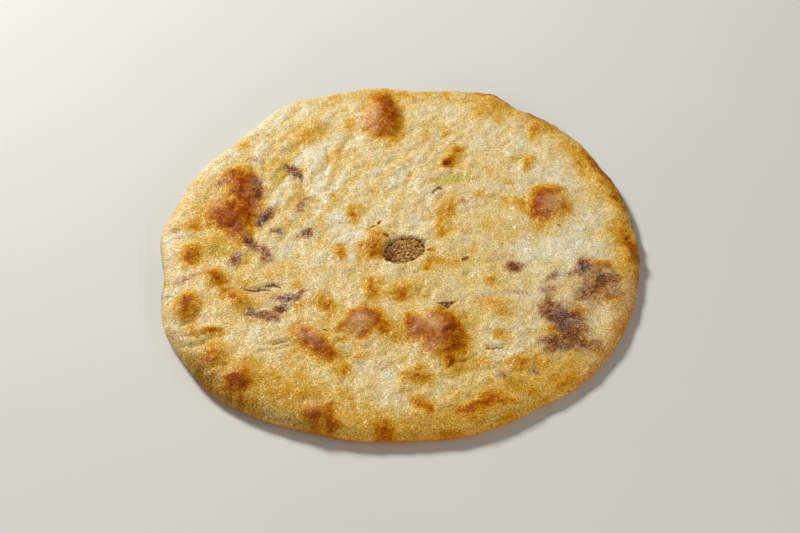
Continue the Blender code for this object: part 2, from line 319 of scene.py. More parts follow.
def puffs(x, y, width, seed):
    """Round bumps, one in each cell of a loose grid, from 0 to 1."""
    draws = np.random.RandomState(seed).uniform(size=(3, NOISE_CELLS, NOISE_CELLS))
    column = np.floor(x / width).astype(int)
    row = np.floor(y / width).astype(int)
    rise = np.zeros_like(x)
    for i in (-1, 0, 1):
        for j in (-1, 0, 1):
            east, north, size = draws[:, (column + i) % NOISE_CELLS, (row + j) % NOISE_CELLS]
            reach = np.hypot(x / width - column - i - east, y / width - row - j - north)
            reach /= PUFF_REACH[0] + PUFF_REACH[1] * size
            rise = np.maximum(rise, size * np.clip(1 - reach**2, 0, None))
    return rise


sample = puffs(*np.mgrid[0:9:90j, 0:9:90j], width=1, seed=25)
print("puffs rise to", round(sample.max(), 2), "and to", round(sample.mean(), 2), "on average")

# %% Wrinkles
# The wrinkles around the edge: their width, their length and how far they reach in
RIM_WRINKLES = (3.2 * MM, 12 * MM, 9 * MM)
RIM_WRINKLE_DEPTH = 0.7 * MM
# Wrinkles drawn out in one direction, at the back on the left, on the front blisters and on
# the one at the left edge, in mm: place, reach, direction in degrees, width, length, strength
STRETCHES = (
    (-70, 70, 75, 58, 4.5, 16, 1.0),
    (18, -90, 20, 50, 3.6, 14, 1.5),
    (-27, -77, 13, 55, 3.6, 12, 1.0),
    (-56, -88, 15, 50, 3.4, 12, 1.0),
    (-136, -53, 14, 46, 4.2, 16, 1.6),
)
STRETCH_DEPTH = 0.5 * MM


def streaks(x, y):
    """The drawn-out wrinkles, about -1 to 1, fading away from the middle of each stretch."""
    rise = np.zeros_like(x)
    for east, north, reach, direction, width, length, strength in STRETCHES:
        turn = math.radians(direction)
        along = x * math.cos(turn) + y * math.sin(turn)
        across = y * math.cos(turn) - x * math.sin(turn)
        drawn = noise(across / (width * MM), along / (length * MM), 1, seed=31)
        away = np.hypot(x - east * MM, y - north * MM) / (reach * MM)
        rise += strength * drawn * np.exp(-(away**2))
    return rise


def rim_wrinkles(x, y):
    """Short wrinkles that run in from the edge, from -1 to 1."""
    width, length, reach = RIM_WRINKLES
    angle = np.arctan2(y, x)
    inset = edge_radius(angle) - np.hypot(x, y)
    drawn = noise((angle + math.tau) * PIE_RADIUS / width, inset / length, 1, seed=37)
    return drawn * np.exp(-((inset / reach) ** 2))


print(len(STRETCHES), "places with drawn-out wrinkles")

# %% Whole skin
# Width, depth and seed of the skin's unevenness: rolling, then puffed up in round bumps
SKIN_ROLLS = ((14 * MM, 0.5 * MM, 20), (2.6 * MM, 0.15 * MM, 21))
SKIN_PUFFS = ((11 * MM, 1.5 * MM, 25), (6 * MM, 1.4 * MM, 26))
# Where the puffs are full, in mm: place, half length, half width, direction, strength
PUFFED = (
    (-85, 20, 80, 42, 95, 0.9),
    (25, 75, 50, 45, 0, 1.5),
    (-35, -10, 35, 35, 0, 1.15),
)
PUFFED_ELSEWHERE = 0.8
PUFFED_FALL = 0.7  # how fast the strength falls off outside those places
PUFFED_LEVEL = 0.85
PUFFED_PATCHES = (28 * MM, 0.4, 24)


def skin(x, y):
    """Unevenness of the skin at points x, y."""
    rise = patchy(x, y, RIM_WRINKLE_DEPTH * rim_wrinkles(x, y), *SKIN_ROLLS)
    share = np.full_like(x, PUFFED_ELSEWHERE)
    for east, north, half_length, half_width, direction, strength in PUFFED:
        reach = oval(x, y, (east * MM, north * MM), half_length * MM, half_width * MM, direction)
        share = np.maximum(share, strength * np.exp(-PUFFED_FALL * reach**2))
    share *= patchy(x, y, PUFFED_LEVEL, PUFFED_PATCHES)
    for width, depth, seed in SKIN_PUFFS:
        rise += depth * share * (puffs(x, y, width, seed) - PUFF_LEVEL)
    return rise + STRETCH_DEPTH * streaks(x, y)


print(len(PUFFED), "places with full puffs")

# %% [markdown]
# ## The vent and the slit
# A pinched hole near the middle lets the steam out, and in front of it the dough has torn.
# The lid's edge is rounded where it turns down into them, and at the left of the vent it
# sags. A bevel would round a cut edge evenly, which dough never is. So the lid is drawn
# down towards the openings first, and they are cut later.

# %% Openings of the lid
# Place of the middle, half length and half width, direction of the length, number of sides
VENT = ((2.9 * MM, -10.5 * MM), (14.4 * MM, 10.9 * MM), 31, 48)
SLIT = ((28.8 * MM, -59.6 * MM), (7.6 * MM, 4.3 * MM), 5, 3)
OPENINGS = (VENT, SLIT)
LIP_DEPTH = (1.0 * MM, 0.7 * MM)
LIP_WIDTH = (1.6 * MM, 1.0 * MM)
SAG_DEPTH = 1.3 * MM
SAG_WIDTH = 5 * MM
SAG_START = 0.2  # of the vent's half length, to the right of its middle
PINCHES = ((3, 0.03, 2.6), (7, 0.012, 0), (12, 0.01, 0))  # waves around, share, turn


def ragged(direction):
    """How a pinched edge runs out and in around an opening, as a share of its size."""
    return sum(share * np.sin(waves * direction + turn) for waves, share, turn in PINCHES)


def outside_by(x, y, opening):
    """How far points lie outside an opening, in metres, below zero inside it."""
    centre, half, turn, sides = opening
    tilt = math.radians(turn)
    along = ((x - centre[0]) * math.cos(tilt) + (y - centre[1]) * math.sin(tilt)) / half[0]
    across = ((y - centre[1]) * math.cos(tilt) - (x - centre[0]) * math.sin(tilt)) / half[1]
    if sides > 3:
        return (np.hypot(along, across) - 1 - ragged(np.arctan2(across, along))) * min(half)
    beyond = np.full_like(x, -1.0)
    for direction in (90, -30, 210):  # the three sides, half as far out as the corners
        facing = (math.cos(math.radians(direction)), math.sin(math.radians(direction)))
        steepness = math.hypot(facing[0] / half[0], facing[1] / half[1])
        beyond = np.maximum(beyond, (along * facing[0] + across * facing[1] - 0.5) / steepness)
    return beyond


def drawn_down(x, y):
    """How far the lid is drawn down at the openings."""
    fall = np.zeros_like(x)
    for opening, depth, width in zip(OPENINGS, LIP_DEPTH, LIP_WIDTH):
        distance = np.clip(outside_by(x, y, opening), 0, None)
        fall += depth * np.exp(-((distance / width) ** 2))
    centre, half = VENT[:2]
    distance = np.clip(outside_by(x, y, VENT), 0, None)
    leftwards = np.clip((centre[0] - x) / half[0] + SAG_START, 0, 1)
    return fall + SAG_DEPTH * leftwards * np.exp(-((distance / SAG_WIDTH) ** 2))


for name, opening in (("vent", VENT), ("slit", SLIT)):
    print(name, "measures", [round(2 * half / MM, 1) for half in opening[1]], "mm")

# %% Creases and the whole relief
LINE_BENDS = (7 * MM, 1.2 * MM)  # width and reach of the bends in a crease


def bent(x, y):
    """Places pushed about a little, so that a line drawn through them isn't straight."""
    width, reach = LINE_BENDS
    return x + reach * noise(x, y, width, seed=15), y + reach * noise(x, y, width, seed=16)


def near_line(x, y, route, half_width):
    """1 on a line through some places, fading to 0 beside it."""
    nearest = np.full_like(x, PIE_RADIUS)
    for start, end in zip(route, route[1:]):
        way = ((end[0] - start[0]) * MM, (end[1] - start[1]) * MM)
        east = x - start[0] * MM
        north = y - start[1] * MM
        share = np.clip((east * way[0] + north * way[1]) / (way[0] ** 2 + way[1] ** 2), 0, 1)
        nearest = np.minimum(nearest, np.hypot(east - share * way[0], north - share * way[1]))
    return np.exp(-((nearest / half_width) ** 2))


def relief(x, y):
    """How far the lid stands out from its smooth form."""
    rise = skin(x, y) - drawn_down(x, y)
    bent_x, bent_y = bent(x, y)
    for half_width, depth, _, route in CREASES:
        rise -= depth * MM * near_line(bent_x, bent_y, route, half_width * MM)
    for bumps, sharpness in ((BLISTERS, BLISTER_SHARPNESS), (FOLDS, FOLD_SHARPNESS)):
        for east, north, half_length, half_width, height, direction in bumps:
            place = (east * MM, north * MM)
            size = (half_length * MM, half_width * MM)
            rise += height * MM * dome(x, y, place, *size, direction, sharpness)
    for place, radius, height in swells():
        rise += height * dome(x, y, place, radius, radius, 0)
    return rise


print("relief in the middle", np.round(relief(np.zeros(1), np.zeros(1)) / MM, 2), "mm")

# %% [markdown]
# ## A ball of dough
# The pie starts as the cook starts it, with a ball. An ico sphere has even triangles and
# no pole, so it suits a surface that has to bend everywhere, where a cylinder's lid would
# be one large face. The part of the ball that becomes the lid is subdivided most, the side
# less and the hidden base not at all.

# %% Ball
LID_SHARE = 0.1  # the ball above this height becomes the lid
BASE_SHARE = -0.25  # and below this the base, with the side between them


def select_faces(piece, low, high):
    """Select the faces of a ball of radius 1 whose middles lie between two heights."""
    bpy.ops.object.mode_set(mode="EDIT")
    bpy.ops.mesh.select_mode(type="FACE")
    bpy.ops.mesh.select_all(action="DESELECT")
    bpy.ops.object.mode_set(mode="OBJECT")
    for face in piece.data.polygons:
        face.select = low < face.center.z < high
    bpy.ops.object.mode_set(mode="EDIT")


def ball(name, subdivisions):
    """A ball of radius 1 with even triangles."""
    pick()
    bpy.ops.mesh.primitive_ico_sphere_add(subdivisions=subdivisions, radius=1)
    piece = bpy.context.object
    piece.name = name
    return piece


crust = ball("baked_crust", 6)
select_faces(crust, LID_SHARE, 1)
bpy.ops.mesh.subdivide(number_cuts=3)
select_faces(crust, BASE_SHARE, LID_SHARE)
bpy.ops.mesh.subdivide(number_cuts=1)
bpy.ops.mesh.select_all(action="SELECT")
bpy.ops.mesh.quads_convert_to_tris()
bpy.ops.object.mode_set(mode="OBJECT")
print("ball with", len(crust.data.polygons), "faces")

# %% [markdown]
# ## Pressing the ball flat
# Pressing keeps the ball's surface and changes its place. The height on the ball says
# which part of the pie a point belongs to: lid, rolled side or flat base. Each is laid out
# with about the same area for every triangle. Transform operators can't follow the
# hand-made outline, so this step is a function that moves every point.

# %% Press
SIDE_RELIEF = 0.35  # the share of the relief that is left where the edge reaches out most
SIDEWAYS = 0.5  # the share of it that pushes outwards there


def points_of(piece):
    """The places of a piece's points, one in each row."""
    points = np.empty(len(piece.data.vertices) * 3)
    piece.data.vertices.foreach_get("co", points)
    return points.reshape(-1, 3)


def put_points(piece, x, y, z):
    """Move a piece's points to new places."""
    piece.data.vertices.foreach_set("co", np.column_stack((x, y, z)).ravel())
    piece.data.update()


def press(piece, side=0.0, low=0.0, drop=0.0, form=None):
    """Press a ball into the pie's form, side inside its outline and drop under its top."""
    points = points_of(piece)
    points /= np.linalg.norm(points, axis=1, keepdims=True)
    angle = np.arctan2(points[:, 1], points[:, 0])
    share = np.clip(points[:, 2], -1, 1)
    edge = edge_radius(angle) - side
    shoulder = shoulder_width(angle) if side == 0 else SHOULDER / 2
    foot = FOOT if side == 0 else FOOT / 2

    on_lid = share >= LID_SHARE
    on_base = share <= BASE_SHARE
    tilt = np.clip((share - BASE_SHARE) / (LID_SHARE - BASE_SHARE), 0, 1) * math.pi - math.pi / 2
    inset = np.where(tilt > 0, shoulder, foot) * (1 - np.cos(tilt))
    lid_reach = np.sqrt(np.clip((1 - share) / (1 - LID_SHARE), 0, 1))
    base_reach = np.sqrt(np.clip((1 + share) / (1 + BASE_SHARE), 0, 1))
    inset = np.where(on_lid, edge - (edge - shoulder) * lid_reach, inset)
    inset = np.where(on_base, edge - (edge - foot) * base_reach, inset)

    top = smooth_top(inset + side, angle) - drop
    widest = low + WIDEST_SHARE * (edge_height(angle) - drop - low)
    z = widest + np.where(tilt > 0, top - widest, widest - low) * np.sin(tilt)
    z = np.where(on_lid, top, np.where(on_base, low, z))
    x = (edge - inset) * np.cos(angle)
    y = (edge - inset) * np.sin(angle)
    if form is not None:
        out = form(x, y)
        fade = np.where(on_lid, 1.0, np.clip(SIDE_RELIEF + np.sin(tilt), 0, 1))
        fade = np.where(on_base, 0.0, fade)
        sideways = SIDEWAYS * np.where(on_lid, 0.0, np.cos(tilt))
        x += out * fade * sideways * np.cos(angle)
        y += out * fade * sideways * np.sin(angle)
        z += out * fade * np.where(on_lid, 1.0, np.clip(np.sin(tilt), 0, 1))
    put_points(piece, x, y, z)


press(crust, form=relief)
print("pressed to", [round(v / MM, 1) for v in crust.dimensions], "mm")

# %% [markdown]
# ## The finest skin
# Flour and dried dough leave a grain that is too fine to list. A Displace modifier with a
# clouds texture pushes the surface along its own normals, so it works on the side too.

# %% Skin grain
GRAIN_WIDTH = 2.6 * MM
GRAIN_DEPTH = 0.3 * MM
GRAIN_START = 1.5 * MM  # above the base, which stays flat
grain_texture = bpy.data.textures.new("dried dough", "CLOUDS")
grain_texture.noise_scale = GRAIN_WIDTH
risen = crust.vertex_groups.new(name="above the base")
risen.add([v.index for v in crust.data.vertices if v.co.z > GRAIN_START], 1, "REPLACE")
grain = crust.modifiers.new("Grain", "DISPLACE")
grain.texture = grain_texture
grain.texture_coords = "LOCAL"
grain.strength = GRAIN_DEPTH
grain.mid_level = 0.5
grain.vertex_group = risen.name
pick(crust)
bpy.ops.object.modifier_apply(modifier=grain.name)
print("grained to", [round(v / MM, 1) for v in crust.dimensions], "mm")

# %% [markdown]
# ## Pocket, vent and slit
# The dough is a shell with the filling inside. Solidify would make its wall the same all
# over, but the folded side is thicker than the lid. So a second, smaller ball is pressed
# into the form of the pocket and cut out of the first, and two plugs open it to the
# outside. The tear is three-cornered, as dough splits, so its plug has three sides.

# %% Cut the openings
PLUG_WIDTHS = (0.93, 1.06)  # of the opening's, at its lower and upper end
PLUG_DEPTH = 20 * MM
PLUG_MIDDLE = 17 * MM  # above the floor


def plug(name, opening):
    """A slightly tapered plug of the size and place of an opening."""
    centre, half, turn, sides = opening
    pick()
    low, high = PLUG_WIDTHS
    bpy.ops.mesh.primitive_cone_add(
        vertices=sides, radius1=low, radius2=high, depth=PLUG_DEPTH, location=(*centre, PLUG_MIDDLE)
    )
    piece = bpy.context.object
    piece.name = name
    if sides > 3:
        bpy.ops.object.transform_apply(location=False, rotation=False, scale=True)
        x, y, z = points_of(piece).T
        share = 1 + ragged(np.arctan2(-y, -x))
        put_points(piece, x * share, y * share, z)
    piece.scale = (*half, 1)
    piece.rotation_euler.z = math.radians(turn + 180)  # a three-sided one points to the front
    bpy.ops.object.transform_apply(location=True, rotation=True, scale=True)
    return piece


def cut(piece, cutter):
    """Cut the form of one piece out of another, and remove the cutter."""
    difference = piece.modifiers.new("Cut", "BOOLEAN")
    difference.operation = "DIFFERENCE"
    difference.solver = "EXACT"
    difference.object = cutter
    pick(piece)
    bpy.ops.object.modifier_apply(modifier=difference.name)
    bpy.data.objects.remove(cutter)


pocket = ball("pocket", 4)
press(pocket, side=SIDE, low=BASE, drop=LID)
cut(crust, pocket)
cut(crust, plug("vent", VENT))
cut(crust, plug("slit", SLIT))
print("crust with", len(crust.data.polygons), "faces")

# %% [markdown]
# ## The filling
# The filling is a layer that fills the pocket, so it is pressed from a ball as the pocket
# was, a little smaller. Where it shows, it is minced meat: uneven lumps a few millimetres
# across, wet with fat. Displacing the layer would only make it wavy, so a few lumps are
# modelled and copied, each copy turned and scaled in its own mesh, and packed into the
# vent and the slit.

# %% Filling layer
filling = ball("minced_filling", 4)
press(filling, side=SIDE + GAP, low=BASE + GAP, drop=LID + GAP)
print("layer of", [round(v / MM, 1) for v in filling.dimensions], "mm")

# %% Kinds of lump
LUMP_KINDS = 5
KIND_SEED = 40
LUMP_DENTS = 5  # places where a lump is pushed in or pulled out
DENT_START = 0.3  # of the lump's radius, from its middle
LUMP_ROUGHNESS = 0.5


def lump_kind(number):
    """One small uneven lump, about 1 across."""
    piece = ball("lump", 2)
    points = points_of(piece)
    draw = np.random.RandomState(KIND_SEED + number)
    for _ in range(LUMP_DENTS):
        way = draw.normal(size=3)
        way /= np.linalg.norm(way)
        pushed = np.outer(np.clip(points @ way - DENT_START, 0, None), way)
        points += pushed * draw.uniform(-LUMP_ROUGHNESS, LUMP_ROUGHNESS)
    put_points(piece, *(points / 2).T)
    return piece


kinds = [lump_kind(number) for number in range(LUMP_KINDS)]
print(len(kinds), "kinds of lump, of", len(kinds[0].data.polygons), "faces each")

# %% Pack the lumps
# Spacing, how far inside the edge they stay, and how far the filling is pushed up there
VENT_LUMPS = (1.9 * MM, 0.8 * MM, 0.4 * MM)
SLIT_LUMPS = (1.5 * MM, 0.9 * MM, 1.2 * MM)
LUMP_SEED = 5
LUMP_WIDTH = (0.9, 2.1)  # of the spacing
LUMP_FLATNESS = 0.6
LUMP_LAYERS = (0.2 * MM, 1.0 * MM)
LUMP_JITTER = 0.3  # of the spacing, sideways and up
LUMP_TILT = 0.4  # in radians


def lump_places(opening, spacing, margin, draw):
    """A loose triangular grid inside an opening."""
    centre, half, turn, _ = opening
    row_step = spacing * math.sqrt(3) / 2
    rows = int(half[1] / row_step) + 1
    columns = int(half[0] / spacing) + 1
    for row in range(-rows, rows + 1):
        for column in range(-columns, columns + 1):
            x = (column + 0.5 * (row % 2) + draw.uniform(-LUMP_JITTER, LUMP_JITTER)) * spacing
            y = row * row_step + draw.uniform(-LUMP_JITTER, LUMP_JITTER) * spacing
            if (x / (half[0] - margin)) ** 2 + (y / (half[1] - margin)) ** 2 < 1:
                spot = Matrix.Rotation(math.radians(turn), 3, "Z") @ Vector((x, y, 0))
                yield centre[0] + spot.x, centre[1] + spot.y


draw = np.random.RandomState(LUMP_SEED)
lumps = []
for opening, (spacing, margin, rise) in zip(OPENINGS, (VENT_LUMPS, SLIT_LUMPS)):
    for level in LUMP_LAYERS:
        for spot in lump_places(opening, spacing, margin, draw):
            angle = np.array(math.atan2(spot[1], spot[0]))
            top = float(smooth_top(edge_radius(angle) - math.hypot(*spot), angle)) - LID - GAP
            piece = kinds[draw.randint(LUMP_KINDS)].copy()
            piece.data = piece.data.copy()
            bpy.context.collection.objects.link(piece)
            size = Vector([draw.uniform(*LUMP_WIDTH) * spacing for _ in range(3)])
            size.z *= LUMP_FLATNESS
            turn = Matrix.Rotation(draw.uniform(0, math.tau), 4, "Z")
            turn = turn @ Matrix.Rotation(draw.uniform(-LUMP_TILT, LUMP_TILT), 4, "X")
            height = top + rise + level + draw.uniform(-LUMP_JITTER, LUMP_JITTER) * spacing
            piece.data.transform(
                Matrix.Translation((*spot, height)) @ turn @ Matrix.Diagonal((*size, 1))
            )
            lumps.append(piece)
for piece in kinds:
    bpy.data.objects.remove(piece)

pick(*lumps, filling)
bpy.ops.object.join()
print(len(lumps), "lumps joined to the filling,", len(filling.data.polygons), "faces")

# %% [markdown]
# ## Painting what the oven did
# The colours follow the places on the pie, so they are stored with its points: how far
# each place is baked, how golden, stained, green, pale or blushed it is; the blush on the
# blisters is a painted highlight. They could be painted by hand on an image. Listed spots
# need no image, and each can be moved until it sits on its blister.

# %% Browned spots on the left
# In mm: place (x, y), half length, half width, direction in degrees, strength from 0 to 1.
# Browning at 0.3 is golden, at 0.5 orange, at 0.7 brown and at 0.95 nearly burnt.
BROWNED_LEFT = (
    # the large scorched patch, and the spots around it
    (-109, 68, 8, 10, 90, 0.84), (-104, 60, 8, 5, 60, 0.4), (-103, 48, 12, 8, 90, 0.84),
    (-97, 57, 12, 4, 95, 0.7), (-108, 54, 9, 6, 60, 0.66), (-114, 26, 12, 9, 90, 0.84),
    (-102, 29, 12, 8, 90, 0.78), (-95, 35, 11, 5, 85, 0.6), (-117, 38, 7, 5, 0, 0.4),
    (-120, 26, 8, 7, 0, 0.4), (-106, 16, 13, 8, 100, 0.9), (-125, 35, 12, 9, 80, 0.25),
    (-137, 19, 8, 6, 0, 0.45), (-136, -6, 8, 6, 90, 0.72), (-133, -12, 6, 5, 0, 0.4),
    (-119, -28, 9, 6, -60, 0.7), (-115, -33, 5, 4, 0, 0.4), (-136, -48, 7, 6.5, 0, 0.6),
    (-136, -59, 7, 6, 0, 0.55), (-136, -53, 8, 5, 88, 0.4), (-107, -45, 10, 6, -45, 0.68),
    (-95, -55, 7, 5, 0, 0.35), (-120, -76, 10, 3.2, -5, 0.74), (-131, -71, 5, 3, 20, 0.25),
    (-116, -92, 9, 7, 90, 0.54), (-120, -100, 7, 5, 0, 0.55), (-103, -118, 9, 7, 100, 0.95),
    (-97, -106, 7, 5, 70, 0.5), (-93, -134, 12, 6, -30, 0.4), (-96, -121, 6, 4.5, 90, 0.85),
    # the left middle
    (-77, -26, 7, 6, 0, 0.2), (-86, -28, 6, 3, 90, 0.2), (-66, -38, 7, 4, 85, 0.4),
    (-64, -57, 7, 5, 90, 0.34), (-56, -54, 6, 5, 0, 0.2), (-47, -57, 9, 5, 112, 0.7),
    (-38, -11, 7, 4.5, 95, 0.58), (-30, 24, 7, 4, 105, 0.6), (-23, 33, 8, 3.5, 40, 0.32),
    (-50, 15, 8, 3.5, 100, 0.35), (-42, 42, 7, 4, 90, 0.28), (-74, 20, 6, 4, 90, 0.36),
)
print(len(BROWNED_LEFT), "browned spots on the left")

# %% Browned spots at the back
BROWNED_BACK = (
    # the upper left and the tall blister at the back
    (-106, 99, 6, 5, 60, 0.35), (-60, 107, 8, 7, 60, 0.34), (-80, 76, 7, 8, 0, 0.22),
    (-55, 119, 8, 4, 80, 0.24), (-66, 103, 7, 5, 30, 0.18), (-32, 115, 10, 4, 80, 0.45),
    (-41, 84, 9, 5.5, 85, 0.32), (-5, 128, 24, 7.5, 96, 0.86), (-8, 143, 9, 7, 90, 0.7),
    (-12, 112, 10, 9, 90, 0.7), (-17, 130, 13, 5, 95, 0.25), (0, 122, 14, 5, 90, 0.6),
    (-14, 104, 6, 5, 0, 0.22),
    # the upper right and the rim there
    (35, 73, 5, 4, 60, 0.75), (42, 85, 6, 4.5, 80, 0.72), (39, 78, 10, 5, 50, 0.34),
    (90, 71, 9, 3.6, 73, 0.6), (81, 76, 4, 3, 0, 0.3), (34, 107, 8, 3.5, 85, 0.32),
    (22, 103, 14, 4.5, 80, 0.25), (72, 146, 8, 4, -22, 0.85), (63, 148.5, 7, 3, -12, 0.5),
    (79, 141, 6, 3, -40, 0.45), (70, 133, 12, 8, 90, 0.36), (60, 136, 8, 5, 90, 0.3),
    (58, 124, 9, 3.5, 90, 0.26), (72, 116, 8, 3, 90, 0.25), (88, 126, 8, 6, 0, 0.25),
    (100.5, 121, 9, 4.5, -50, 0.7), (98.5, 111, 8, 4, 75, 0.45), (97, 102, 9, 4, 80, 0.34),
    (111, 108, 9, 5, -45, 0.4), (124, 85, 12, 5, -58, 0.42), (136, 72, 13, 4.5, -62, 0.8),
    (142.5, 60, 9, 4, -66, 0.72), (127, 68, 12, 6, 112, 0.32), (138, 50, 10, 6, 100, 0.42),
    (147, 39, 8, 4.5, 105, 0.66), (149.5, 29, 7, 4, 100, 0.5), (148, 12, 12, 5, 90, 0.36),
    (138, 5, 9, 8, 30, 0.25), (151, -9, 13, 6, 95, 0.8), (150, -27, 12, 5, 85, 0.26),
)
print(len(BROWNED_BACK), "browned spots at the back")

# %% Browned spots in the middle
BROWNED_MIDDLE = (
    # the round blister on the right and the gold beside it
    (101, 43, 8, 5, 10, 0.5), (97, 34, 9, 8, 60, 0.66), (94, 32, 11, 5, 85, 0.6),
    (93, 20, 6, 5, 0, 0.84), (108, 40, 6, 4, -40, 0.4), (111, 25, 8, 5, 92, 0.5),
    (102, 18, 6, 4, 0, 0.4), (102, 28, 8, 7, 0, 0.45), (94, 9, 9, 6, 20, 0.35), (82, 28, 7, 5, 0, 0.35),
    (78, 35, 8, 6, 0, 0.28), (55, 40, 4, 4, 0, 0.3), (67, 38, 6, 3, 0, 0.25), (75, 52, 5, 4, 0, 0.3),
    (62, 62, 5, 5, 0, 0.32), (35, 26, 10, 4.5, 72, 0.48), (28, 15, 11, 4.5, 95, 0.38),
    (29, 5, 6, 4.5, 0, 0.34), (62, 10, 10, 8, 90, 0.2),
    # around the vent and the slit
    (-18, -9, 9, 7, 70, 0.7), (-13, 6, 7, 5, 110, 0.5), (-12, -14, 5, 3, -40, 0.25),
    (20, -10, 4, 3, 0, 0.42), (20, -22, 7, 4.5, 80, 0.46), (18, -28, 4, 3, 90, 0.46),
    (33, -23, 10, 5, 0, 0.36), (46, -13, 7, 3.5, 60, 0.32), (58, -38, 7, 4.5, 90, 0.4),
    (-18, -44, 11, 6, 95, 0.6), (1, -47, 9, 8, 0, 0.48), (2, -53, 6, 3, 0, 0.4),
    (5, -68, 6, 4, 90, 0.42), (60, -60, 8, 6, 0, 0.44), (66, -69, 7, 5, 0, 0.22),
    (46, -72, 10, 6, 90, 0.22), (61, -86, 6, 5, 0, 0.5), (110, -68, 6, 5, 45, 0.66),
    (95, -82, 7, 5, 0, 0.5), (129, -26, 8, 5, 20, 0.6), (133, -53, 9, 5, -40, 0.45),
    (136, -81, 9, 5, 50, 0.42),
)
print(len(BROWNED_MIDDLE), "browned spots in the middle")

# %% Browned spots in front
BROWNED_FRONT = (
    # the three blisters in front
    (-24, -66, 9, 4.5, 5, 0.75), (-34, -73, 7, 4, 45, 0.62), (-38, -79, 5, 3.5, 0, 0.4),
    (-24, -82, 5.5, 5, 90, 0.66), (-16, -73, 9, 5.5, -45, 0.75), (-8, -82, 8, 5, -50, 0.55),
    (-26, -76, 7, 6, 0, 0.36), (-62, -79, 8, 7, -40, 0.6), (-55, -89, 9, 7, -50, 0.78),
    (-47, -97, 8, 6, -70, 0.9), (7, -83, 7, 5, 60, 0.7), (6, -75, 5, 4, 0, 0.55),
    (12, -80, 9, 7, 80, 0.6), (19, -88, 10, 7, 80, 0.35), (24, -69, 7, 5, 60, 0.6),
    (29, -77, 9, 6.5, 100, 0.76), (31, -89, 13, 7.5, 100, 0.88), (35, -86, 9, 4, 100, 0.6),
    (28, -106, 8, 5, 80, 0.6), (19, -95, 9, 5, 65, 0.7), (8, -119, 8, 7, 0, 0.72),
    # the front and the right front
    (-37, -113, 7, 5, 70, 0.5), (-28, -102, 8, 4, 20, 0.32), (-62, -116, 9, 5, 90, 0.36),
    (-80, -118, 7, 6, 0, 0.3), (-54, -146, 9, 6.5, -10, 0.82), (-45, -140, 7, 6, 80, 0.45),
    (-44, -153, 9, 6, 0, 0.66), (-34, -133, 4, 3, 0, 0.4), (-21, -142, 8, 4, 90, 0.32),
    (-12, -157, 8, 8, 0, 0.8), (9, -140, 7, 3.5, -60, 0.66), (15, -144, 8, 3.5, 90, 0.66),
    (8, -155, 4, 4, 0, 0.35), (26, -161, 11, 4.5, 5, 0.8), (53, -135, 9, 6, 40, 0.78),
    (44, -143, 8, 5.5, 20, 0.72), (36, -145, 6, 5, 0, 0.52), (64, -139, 9, 4, 10, 0.52),
    (45, -152, 7, 3, 10, 0.4), (48, -107, 7, 6, 0, 0.42), (34, -113, 6, 5, 0, 0.38),
    (71, -109, 7, 6.5, 0, 0.56), (84, -106, 6, 5, 90, 0.44), (91, -121, 9, 8, 0, 0.36),
    (102, -121, 10, 4.5, 42, 0.5), (134, -66, 10, 5, 80, 0.2),
)
BROWNED = BROWNED_LEFT + BROWNED_BACK + BROWNED_MIDDLE + BROWNED_FRONT
print(len(BROWNED), "browned spots")

# %% Stains and marks
# Filling that shows dark through thin dough
STAINS = (
    (92, -60, 5, 4, 60, 0.6), (96, -67, 8, 6, -30, 0.85), (105, -72, 9, 6, 0, 0.75),
    (103, -80, 6, 5, 80, 0.55), (106, -86, 10, 5, 30, 0.85), (93, -93, 9, 5, 60, 0.75),
    (115, -93, 8, 6, -30, 0.7), (89, -90, 6, 3, 10, 0.5), (103, -95, 7, 4, 0, 0.5),
    (130, -38, 7, 6, 0, 1.0), (130, -28, 7, 4, 0, 0.36), (138, -38, 4, 5, 0, 0.4),
    (118, -26, 6, 5, 60, 0.6), (113, -33, 6, 3, 20, 0.6), (121, -46, 9, 6, 10, 0.7),
    (133, -49, 8, 4, -20, 0.5), (119, -55, 8, 3, 10, 0.4), (73, -28, 5, 4, -30, 0.85),
    (70, -17, 8, 6, 0, 0.22), (121, -59, 12, 7, 0, 0.28), (140, -58, 6, 8, 0, 0.2),
    (98, -36, 7, 3, 40, 0.42), (75, -50, 6, 2.5, -10, 0.5), (94, -48, 6, 4, 20, 0.35),
    (-94, 54, 11, 4.5, 95, 0.9), (-93, 40, 6, 3, 80, 0.6), (-120, 61, 5, 4, 60, 0.4),
    (-97, 83, 6, 5, 0, 0.3), (99, 31, 6, 5, 0, 0.25), (80, -116, 3, 3, 0, 0.4),
    (-78, 92, 8, 5, 40, 0.12), (-87, 27, 6, 5, 40, 0.65), (-91, 22, 4, 2.6, 70, 1.0),
    (-83, 12, 5, 4, 0, 0.35), (-79, 10, 3, 2, 0, 0.3), (-60, 9, 6, 4, 30, 0.65),
    (-65, 32, 4, 3, 60, 0.55), (-61, 40, 6, 2.4, 48, 0.5), (-73, 74, 4.5, 3, -40, 0.85),
    (-68, 66, 5.5, 3.4, -60, 0.7), (-97, 3, 8, 2.8, 118, 0.95), (-91, -4, 5, 3.4, 140, 0.65),
    (-106, -13, 5.5, 4.2, 80, 0.85), (-87, -12, 6, 4, 100, 0.55), (-134, -28, 9, 3, 25, 0.4),
    (-148, 17, 4, 3, 0, 0.45), (-96, -41, 4, 1.6, -10, 0.6), (-72, -49, 8, 2.8, 5, 0.9),
    (-62, -45, 5, 2, 20, 0.45), (-75, -58, 5, 3.2, 30, 1.0), (-88, -64, 8, 3.4, -22, 0.95),
    (-97, -60, 5, 3, 30, 0.5), (-81, -67, 4, 2.6, 0, 0.7), (60, -119, 5, 2.6, -20, 0.4),
    (44, 34, 6, 5, 30, 0.25),
)
